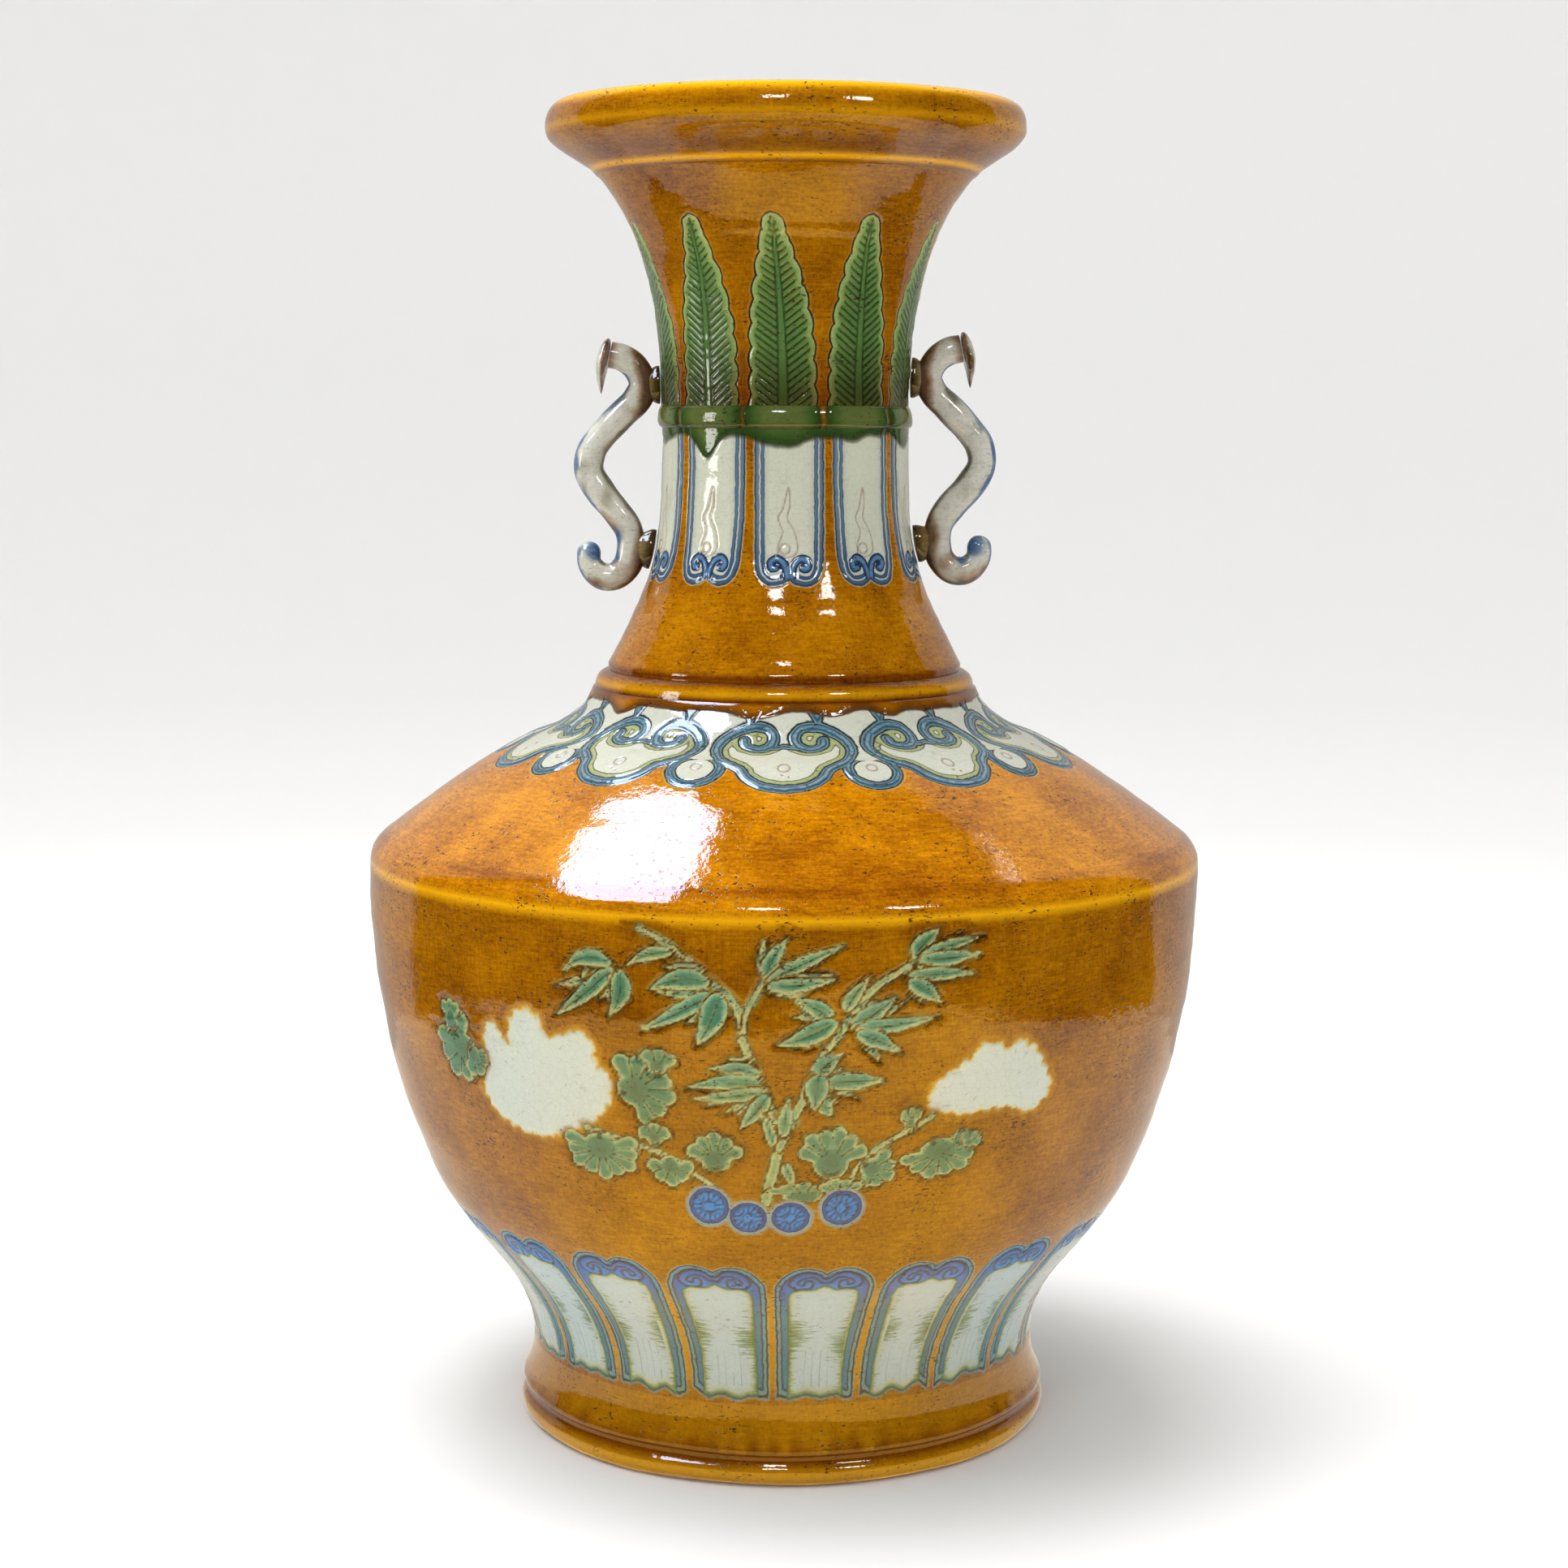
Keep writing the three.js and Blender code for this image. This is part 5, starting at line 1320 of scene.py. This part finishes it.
def vertex_values(mesh, name):
    """A float attribute of a mesh as an array."""
    values = np.empty(len(mesh.vertices), np.float32)
    mesh.attributes[name].data.foreach_get("value", values)
    return values.astype(float)


def positions(mesh):
    """Vertex places in millimetres."""
    co = np.empty(len(mesh.vertices) * 3, np.float32)
    mesh.vertices.foreach_get("co", co)
    return co.reshape(-1, 3).astype(float) / MM


def keep_fields(mesh, **fields):
    """Keeps arrays as float attributes that the glaze reads."""
    for name, values in fields.items():
        mesh.attributes.new(name, "FLOAT", "POINT").data.foreach_set("value", np.asarray(values, np.float32))


def lumps(co, seed, size):
    """Soft unevenness through space, between about -1 and 1."""
    rng = np.random.default_rng(seed)
    total = np.zeros(len(co))
    for _ in range(7):
        total += np.sin(co @ (rng.normal(size=3) / size) + rng.uniform(0, math.tau))
    return total / math.sqrt(7)


def make_handle(side, sizes, outlines, glaze, pad_glaze):
    """One scroll handle: its rod, its flat head and the two pads of clay that lute it on."""
    seed = 3 if side == "left" else 14
    lift = 0.0 if side == "left" else sizes.right_lift / MM
    seats = scroll_seats(sizes, outlines, lift)
    path = scroll_path(sizes, seats)
    turn = Matrix.Rotation(math.pi if side == "left" else 0.0, 4, "Z")
    neck = np.vstack([outlines[name] for name in ("lower_neck", "neck_band", "upper_neck")])

    bm = rolled_rod(path, sizes, seed)
    mesh = bpy.data.meshes.new(f"handle_{side}")
    bm.to_mesh(mesh)
    bm.free()
    run, angle, co = vertex_values(mesh, "run"), vertex_values(mesh, "angle"), positions(mesh)
    whole = run.max()
    normal = np.empty(len(mesh.vertices) * 3, np.float32)
    mesh.vertices.foreach_get("normal", normal)
    normal = normal.reshape(-1, 3)
    noise, fine = lumps(co, seed, 7.0), lumps(co, seed + 1, 2.4)
    gap = np.hypot(co[:, 0], co[:, 1]) - np.interp(co[:, 2], neck[:, 1], neck[:, 0])
    share = run / whole
    top = ease(normal[:, 2], 0.1, 0.8)
    pool = 0.85 * np.exp(-np.clip(gap - 1.5, 0, 30) / 3.6)
    pool = np.maximum(pool, 0.85 * np.exp(-((share - 0.0) / 0.018) ** 2))
    under = ease(-normal[:, 2] + 0.25 * noise, 0.15, 0.9)
    amber = 1.5 * (1 - ease(gap + 1.2 * noise, 4.5, 11)) - 0.7
    amber = np.maximum(amber, 0.8 * under * ease(noise, 0.3, 1.4) * ease(share, 0.1, 0.5) - 0.5)
    amber = np.maximum(amber, 0.8 * np.exp(-((share - 0.8) / 0.05) ** 2) * ease(noise + normal[:, 2], 0.0, 1.2) - 0.6)
    edge = top * np.exp(-((share - 0.17) / 0.09) ** 2)
    # Painted shade: the rod's sides, as seen from the front, darken to olive on the side towards the neck and to blue
    # on the outer side
    sides = ease(1 - np.abs(normal[:, 1]) + 0.1 * fine, 0.12, 0.6)
    olive = np.maximum(1.3 * edge + 0.25 * fine - 0.35, 1.1 * np.exp(-((share - 0.45) / 0.04) ** 2) * under - 0.5)
    olive = np.maximum(olive, 1.1 * sides * ease(-normal[:, 0] + 0.5 * noise, -0.2, 0.9) - 0.42)
    curl = ease(share, 0.9, 0.99) * (0.5 + 0.6 * np.clip(-normal[:, 0] + 0.4 * noise, -1, 1))
    blue = np.maximum(1.4 * curl, 0.95 * sides * ease(normal[:, 0] + 0.5 * noise, -0.1, 0.8)) - 0.35 + 0.15 * fine
    keep_fields(mesh, pool=pool, stain=amber * 2, green=olive * 2, blue=blue * 2, ridge=0 * run, cut=-1 + 0 * run,
                bare=0 * run)
    unroll(mesh, angle, share, np.ones(len(run), bool), 0 * share, 2)
    mesh.transform(turn)
    finish_mesh(mesh, glaze, f"handle_{side}", "handle_glaze", 60)

    # Flat head: a trefoil plate, thin at its edges and bulging outward, square to the rod's end
    width, rise, drop, thickness = 10.0, 5.4, 13.6, 3.8
    half = outline((0, -drop), [(width * 0.2, -drop * 0.76), (width * 0.55, -drop * 0.62), (width * 0.76, -drop * 0.56)],
                   [(width * 1.08, -drop * 0.46), (width * 1.08, -drop * 0.12), (width * 0.82, 0)],
                   [(width * 0.76, rise * 0.66), (width * 0.4, rise), (0, rise)], samples=20)
    hub = -3.4
    direction = np.degrees(np.arctan2(half[:, 1] - hub, half[:, 0]))
    reach = np.hypot(half[:, 0], half[:, 1] - hub)
    bm = bmesh.new()
    bmesh.ops.create_uvsphere(bm, u_segments=96, v_segments=40, radius=1.0)
    bmesh.ops.rotate(bm, verts=bm.verts, cent=(0, 0, 0), matrix=Matrix.Rotation(math.pi / 2, 3, "Y"))
    mesh = bpy.data.meshes.new(f"handle_{side}_head")
    bm.to_mesh(mesh)
    bm.free()
    ball = positions(mesh) * MM
    out = np.hypot(ball[:, 1], ball[:, 2])
    sector = np.degrees(np.arctan2(ball[:, 2], np.abs(ball[:, 1])))
    edge_reach = np.interp(sector, direction, reach)
    spread = out ** 0.8 * edge_reach
    safe = np.maximum(out, 1e-6)
    y, z = ball[:, 1] / safe * spread, ball[:, 2] / safe * spread + hub
    front = np.interp(z, [-drop, -drop * 0.62, -drop * 0.2, rise * 0.3, rise], [0.9, 3.0, 3.8, 3.5, 2.5])
    plump = np.sqrt(np.clip(1 - out ** 5, 0, 1))
    dent = 0.25 * lumps(np.column_stack([0 * y, y, z]), seed + 5, 5.0)
    x = np.where(ball[:, 0] > 0, front / 2 + (front / 2 + dent * (1 - out)) * plump, front / 2 - front / 2 * plump)
    x = np.clip(x, 0.0, thickness + 0.1)
    middle = np.exp(-(y / 1.5) ** 2) * ease(z, -drop, -4) * (ball[:, 0] > 0)
    x = x - 0.5 * np.exp(-((np.abs(y) - 3.6) / 1.1) ** 2) * (ball[:, 0] > 0) * ease(-z, 2, 8) * ease(1 - out, 0, 0.4)
    co = np.column_stack([x, y, z])
    mesh.vertices.foreach_set("co", (co * MM).ravel())
    mesh.update()
    noise = lumps(co, seed + 8, 4.0)
    rim = ease(out, 0.86, 0.99)
    keep_fields(mesh, pool=0.55 * rim * (ball[:, 0] > 0) * (0.6 + 0.4 * noise) + 0.9 * (ball[:, 0] <= 0),
                stain=2.4 * ease(noise + (0.5 if side == "right" else -0.2), 0.3, 1.4) * ease(z, -8, 5) - 0.7,
                green=1.6 * rim * ease(noise, -0.5, 0.8) - 0.6, blue=-FAR + 0 * x, ridge=0 * x, cut=-1 + 0 * x,
                bare=0 * x, pale=middle)
    unroll(mesh, np.degrees(np.arctan2(ball[:, 2], ball[:, 1])), np.clip(np.arccos(np.clip(ball[:, 0], -1, 1)) / math.pi, 0, 1),
           np.ones(len(x), bool), 0 * x, 1, out < 1e-5)
    inward = path[1] - path[0]
    lean = -math.atan2(-inward[1], -inward[0])
    mesh.transform(turn @ Matrix.Translation((path[0][0] * MM, 0, path[0][1] * MM)) @ Matrix.Rotation(lean, 4, "Y")
                   @ Matrix.Translation((0.3 * MM, 0, 0)))
    finish_mesh(mesh, glaze, f"handle_{side}_head", "handle_glaze", 70)

    # Pads of clay pressed in between the bends and the neck
    pads = (("upper", seats[0], (5.8, 5.2, 6.9), 1.3), ("lower", seats[1], (6.6, 5.2, 7.2), 2.6))
    for number, (level, seat, size, bed) in enumerate(pads):
        name = f"handle_{side}_{level}_joint"
        bm = bmesh.new()
        bmesh.ops.create_uvsphere(bm, u_segments=72, v_segments=48, radius=1.0)
        mesh = bpy.data.meshes.new(name)
        bm.to_mesh(mesh)
        bm.free()
        ball = positions(mesh) * MM
        co = ball * size
        press = 1 - 0.10 * (1 + lumps(co, seed + 20 + number, 3.2)) * 0.5
        co = co * press[:, None] + [seat[0] - sizes.rod_radius / MM - bed / 2 + 0.6, 0, seat[1]]
        out = np.hypot(co[:, 0], co[:, 1])
        skin = np.interp(co[:, 2], neck[:, 1], neck[:, 0]) + 0.3
        taper = 1 - 0.16 * ease(out - skin, 0.3, 4.5)
        co[:, 1] *= taper
        co[:, 2] = seat[1] + (co[:, 2] - seat[1]) * taper
        push = np.clip(skin - out, 0, None)
        co[:, 0] += push
        mesh.vertices.foreach_set("co", (co * MM).ravel())
        mesh.update()
        noise = lumps(co, seed + 30, 3.0)
        pool = 0.95 * np.exp(-(out - skin).clip(0, 9) / 2.2) + 0.1 * noise
        none = np.zeros(len(co))
        keep_fields(mesh, pool=np.clip(pool, 0, 1), stain=1.2 + noise, blue=none - FAR, ridge=none, cut=none - 1,
                    green=1.2 + 0.4 * noise - 1.8 * ease(out - skin, 0.8, 4.6), bare=none)
        unroll(mesh, np.degrees(np.arctan2(ball[:, 1], ball[:, 0])),
               np.arccos(np.clip(-ball[:, 2], -1, 1)) / math.pi, np.ones(len(co), bool), none, 1,
               np.hypot(ball[:, 0], ball[:, 1]) < 1e-5)
        mesh.transform(turn)
        finish_mesh(mesh, pad_glaze, name, "joint_glaze", 80)


def finish_mesh(mesh, glaze, node, slot_name, sharp):
    """Smooths, paints and places a piece that stands for one node."""
    for name in ("run", "angle"):
        if name in mesh.attributes:
            mesh.attributes.remove(mesh.attributes[name])
    mesh.shade_smooth()
    mesh.set_sharp_from_angle(angle=math.radians(sharp))
    mesh.materials.append(glaze)
    return place_piece(mesh, node, slot_name, node)


class VASE_OT_scroll_handles(bpy.types.Operator):
    """Rolls the two scroll handles, presses their heads flat and lutes them on."""

    bl_idname = "vase.scroll_handles"
    bl_label = "Scroll handles"

    def execute(self, context):
        sizes = context.scene.vase_sizes
        outlines = section_outlines(sizes)
        rod_glaze, pad_glaze = handle_materials()
        for side in ("left", "right"):
            make_handle(side, sizes, outlines, rod_glaze, pad_glaze)
        return {"FINISHED"}


def backdrop(name, settings):
    """A white floor that turns up into a wall all round."""
    path = outline((0, 0), [(1500, 0)], [(1900, 0), (1900, 400)], [(1900, 3200)], samples=24)
    bm = bmesh.new()
    verts = [bm.verts.new((0, r * MM, z * MM)) for r, z in path]
    edges = [bm.edges.new(pair) for pair in zip(verts, verts[1:])]
    bmesh.ops.spin(bm, geom=verts + edges, cent=(0, 0, 0), axis=(0, 0, 1), dvec=(0, 0, 0), angle=math.tau,
                   steps=128, use_merge=True, use_normal_flip=False, use_duplicate=False)
    bmesh.ops.remove_doubles(bm, verts=bm.verts, dist=1e-6)
    bmesh.ops.recalc_face_normals(bm, faces=bm.faces)
    mesh = bpy.data.meshes.new(name)
    bm.to_mesh(mesh)
    bm.free()
    mesh.shade_smooth()

    # Matt white paper. Glossy rays see it glow instead: off-white within about half a metre of the vase, with a painted
    # warm amber reflection in front, and farther out a painted dark room reflection in front and pale grey behind.
    material = bpy.data.materials.new("matt_white_paper")
    material.use_nodes = True
    tree = material.node_tree
    tree.nodes.clear()
    place = add(tree, "ShaderNodeNewGeometry").outputs["Position"]
    parts = add(tree, "ShaderNodeSeparateXYZ", {0: place})
    risen = add(tree, "ShaderNodeMapRange", {"Value": parts.outputs[2], "From Min": 0.0, "From Max": 0.08}).outputs[0]
    tone = add(tree, "ShaderNodeMix", {0: risen, 6: (*settings.floor, 1), 7: (*settings.wall, 1)}, data_type="RGBA").outputs[2]
    paper = add(tree, "ShaderNodeBsdfDiffuse", {"Color": tone, "Roughness": 0.5}).outputs[0]
    level = add(tree, "ShaderNodeCombineXYZ", {0: parts.outputs[0], 1: parts.outputs[1], 2: 0.0}).outputs[0]
    far = add(tree, "ShaderNodeVectorMath", {0: level}, operation="LENGTH").outputs["Value"]
    far = add(tree, "ShaderNodeMapRange", {"Value": far, "From Min": 0.535, "From Max": 0.545}).outputs[0]
    aside = add(tree, "ShaderNodeMath", {0: parts.outputs[0]}, operation="ABSOLUTE").outputs[0]
    behind = add(tree, "ShaderNodeMath", {0: aside, 1: -0.45, 2: parts.outputs[1]}, operation="MULTIPLY_ADD").outputs[0]
    front = add(tree, "ShaderNodeMapRange", {"Value": behind, "From Min": -0.012, "From Max": 0.012, "To Min": 1.0,
                                             "To Max": 0.0}).outputs[0]
    glossy = add(tree, "ShaderNodeLightPath").outputs["Is Glossy Ray"]
    beyond = add(tree, "ShaderNodeMix", {0: front, 6: (*linear("#BDB8B2"), 1), 7: (*linear("#1A1715"), 1)},
                 data_type="RGBA").outputs[2]
    # Painted warm reflection: in front of the vase the floor glows amber in the glaze's reflections
    facing_side = add(tree, "ShaderNodeVectorMath", {0: level}, operation="NORMALIZE").outputs[0]
    facing_side = add(tree, "ShaderNodeSeparateXYZ", {0: facing_side}).outputs[1]
    painted_warm_reflection = add(tree, "ShaderNodeMapRange", {"Value": facing_side, "From Min": -0.78, "From Max": -0.3, "To Min": 1.0,
                                            "To Max": 0.0}).outputs[0]
    near = add(tree, "ShaderNodeMix", {0: painted_warm_reflection, 6: (*linear("#E8DFD2"), 1), 7: (1.9, 1.14, 0.24, 1)},
               data_type="RGBA").outputs[2]
    seen = add(tree, "ShaderNodeMix", {0: far, 6: near, 7: beyond}, data_type="RGBA").outputs[2]
    room = add(tree, "ShaderNodeEmission", {"Color": seen, "Strength": 1.0}).outputs[0]
    both = add(tree, "ShaderNodeMixShader", {0: glossy, 1: paper, 2: room}).outputs[0]
    add(tree, "ShaderNodeOutputMaterial", {"Surface": both})
    mesh.materials.append(material)
    piece = bpy.data.objects.new(name, mesh)
    bpy.context.scene.collection.objects.link(piece)
    return piece


def facing(centre, across, up, aim):
    """A frame at a place with its X axis along across, its Y axis near up and its Z axis towards the aim."""
    x = Vector(across).normalized()
    z = x.cross(Vector(up)).normalized()
    if z.dot(Vector(aim) - Vector(centre)) < 0:
        z = -z
    y = z.cross(x)
    return Matrix.Translation(centre) @ Matrix((x, y, z)).transposed().to_4x4()


def window_light(name, centre, across, up, watts, glare, tint=(1.0, 0.97, 0.92, 1)):
    """A rectangular window with sides across and up: a lamp for its light and a card that only the glaze mirrors.
    """
    place = facing(centre, across, up, (0.0, 0.0, 0.22))
    lamp = bpy.data.lights.new(name, "AREA")
    lamp.shape, lamp.size, lamp.size_y, lamp.energy = "RECTANGLE", Vector(across).length, Vector(up).length, watts
    light = bpy.data.objects.new(name, lamp)
    bpy.context.scene.collection.objects.link(light)
    light.matrix_world = place @ Matrix.Rotation(math.pi, 4, "X")
    light.visible_camera = light.visible_glossy = False
    if not glare:
        return light

    bm = bmesh.new()
    bmesh.ops.create_grid(bm, x_segments=1, y_segments=1, size=0.5)
    bmesh.ops.scale(bm, vec=(lamp.size, lamp.size_y, 1), verts=bm.verts)
    mesh = bpy.data.meshes.new(name + "_card")
    bm.to_mesh(mesh)
    bm.free()
    material = bpy.data.materials.new(name + "_daylight")
    material.use_nodes = True
    tree = material.node_tree
    tree.nodes.clear()
    glow = add(tree, "ShaderNodeEmission", {"Color": tint, "Strength": glare}).outputs[0]
    add(tree, "ShaderNodeOutputMaterial", {"Surface": glow})
    mesh.materials.append(material)
    card = bpy.data.objects.new(name + "_card", mesh)
    bpy.context.scene.collection.objects.link(card)
    card.matrix_world = place
    card.visible_camera = card.visible_diffuse = card.visible_shadow = False
    return card


class VASE_OT_stage(bpy.types.Operator):
    """Sets up the floor, the backdrop, the lights and the camera."""

    bl_idname = "vase.stage"
    bl_label = "Stage"

    def execute(self, context):
        scene = context.scene
        settings = scene.vase_stage
        scene.view_settings.view_transform = "Standard"
        backdrop("backdrop", settings)

        world = bpy.data.worlds.new("soft_room")
        scene.world = world
        world.use_nodes = True
        tree = world.node_tree
        tree.nodes.clear()
        glossy = add(tree, "ShaderNodeLightPath").outputs["Is Glossy Ray"]
        tone = add(tree, "ShaderNodeMix", {0: glossy, 6: (1.0, 0.99, 0.97, 1), 7: (0.02, 0.018, 0.017, 1)},
                   data_type="RGBA").outputs[2]
        sky = add(tree, "ShaderNodeBackground", {"Color": tone, "Strength": 1.05}).outputs[0]
        add(tree, "ShaderNodeOutputWorld", {"Surface": sky})

        key = window_light("key_window", (-0.53, -0.12, 1.18), (0.36, -0.17, 0.19), (-0.31, -1.04, -0.28), 7, 12.5,
                           (0.82, 0.94, 1.3, 1))
        window_light("ceiling", (-0.1, 0.05, 1.5), (0.7, 0, 0), (0, 0.7, 0), 13, 0)
        side = window_light("left_window", (-1.24, -0.42, 0.5), (0.08, -0.236, 0), (0, 0, 0.5), 0.3, 8)
        window_light("front_left_lamp", (-0.1, -1.12, 1.1), (-0.22, 0, 0), (0, 0.12, 0.16), 0.7, 19)
        window_light("front_right_lamp", (0.67, -0.96, 0.97), (-0.18, -0.126, 0), (0, 0.12, 0.16), 0.7, 19)
        window_light("back_right_lamp", (0.65, 0.35, 1.27), (0.1, -0.08, 0), (0, 0.08, 0.08), 0.5, 16)

        # Each window is mirrored only by the sections that show it in the photo
        for card, left_out in ((key, ("neck", "mouth")), (side, ("mouth", "shoulder", "body", "foot"))):
            mirrors = bpy.data.collections.new(card.name + "_mirrors")
            for piece in scene.objects:
                if piece.name.endswith("_glazed") and not any(word in piece.name for word in left_out):
                    mirrors.objects.link(piece)
            card.light_linking.receiver_collection = mirrors

        camera = bpy.data.cameras.new("camera")
        camera.lens, camera.sensor_width = settings.lens, 36.0
        camera.dof.use_dof = False
        eye = bpy.data.objects.new("camera", camera)
        scene.collection.objects.link(eye)
        turn = Matrix.Rotation(math.pi / 2 - settings.camera_pitch, 4, "X")
        roll = Matrix.Rotation(settings.camera_roll, 4, "Z")
        eye.matrix_world = (
            Matrix.Translation((0, -settings.camera_distance, settings.camera_height)) @ turn @ roll)
        scene.camera = eye
        return {"FINISHED"}


class VASE_PT_panel(bpy.types.Panel):
    """Lists the vase's steps, sizes and colours."""

    bl_idname = "VASE_PT_panel"
    bl_label = "Sancai vase"
    bl_space_type = "VIEW_3D"
    bl_region_type = "UI"
    bl_category = "Vase"

    def draw(self, context):
        layout = self.layout
        for step in STEPS:
            layout.operator(step.bl_idname)
        for group in (context.scene.vase_sizes, context.scene.vase_glazes, context.scene.vase_stage):
            for key in group.bl_rna.properties.keys():
                if key not in ("rna_type", "name"):
                    layout.prop(group, key)


STEPS = (VASE_OT_thrown_sections, VASE_OT_scroll_handles, VASE_OT_stage)
CLASSES = (VaseSizes, VaseGlazes, StageSettings, *STEPS, VASE_PT_panel)


def register():
    """Makes the classes known and gives the scene its settings."""
    for cls in CLASSES:
        bpy.utils.register_class(cls)
    bpy.types.Scene.vase_sizes = bpy.props.PointerProperty(type=VaseSizes)
    bpy.types.Scene.vase_glazes = bpy.props.PointerProperty(type=VaseGlazes)
    bpy.types.Scene.vase_stage = bpy.props.PointerProperty(type=StageSettings)


def unregister():
    """Takes the settings and the classes away again."""
    del bpy.types.Scene.vase_stage, bpy.types.Scene.vase_glazes, bpy.types.Scene.vase_sizes
    for cls in reversed(CLASSES):
        bpy.utils.unregister_class(cls)


def main():
    """Builds everything and writes down how large it came out."""
    register()
    for step in STEPS:
        group, name = step.bl_idname.split(".")
        getattr(getattr(bpy.ops, group), name)()


if __name__ == "__main__":
    main()
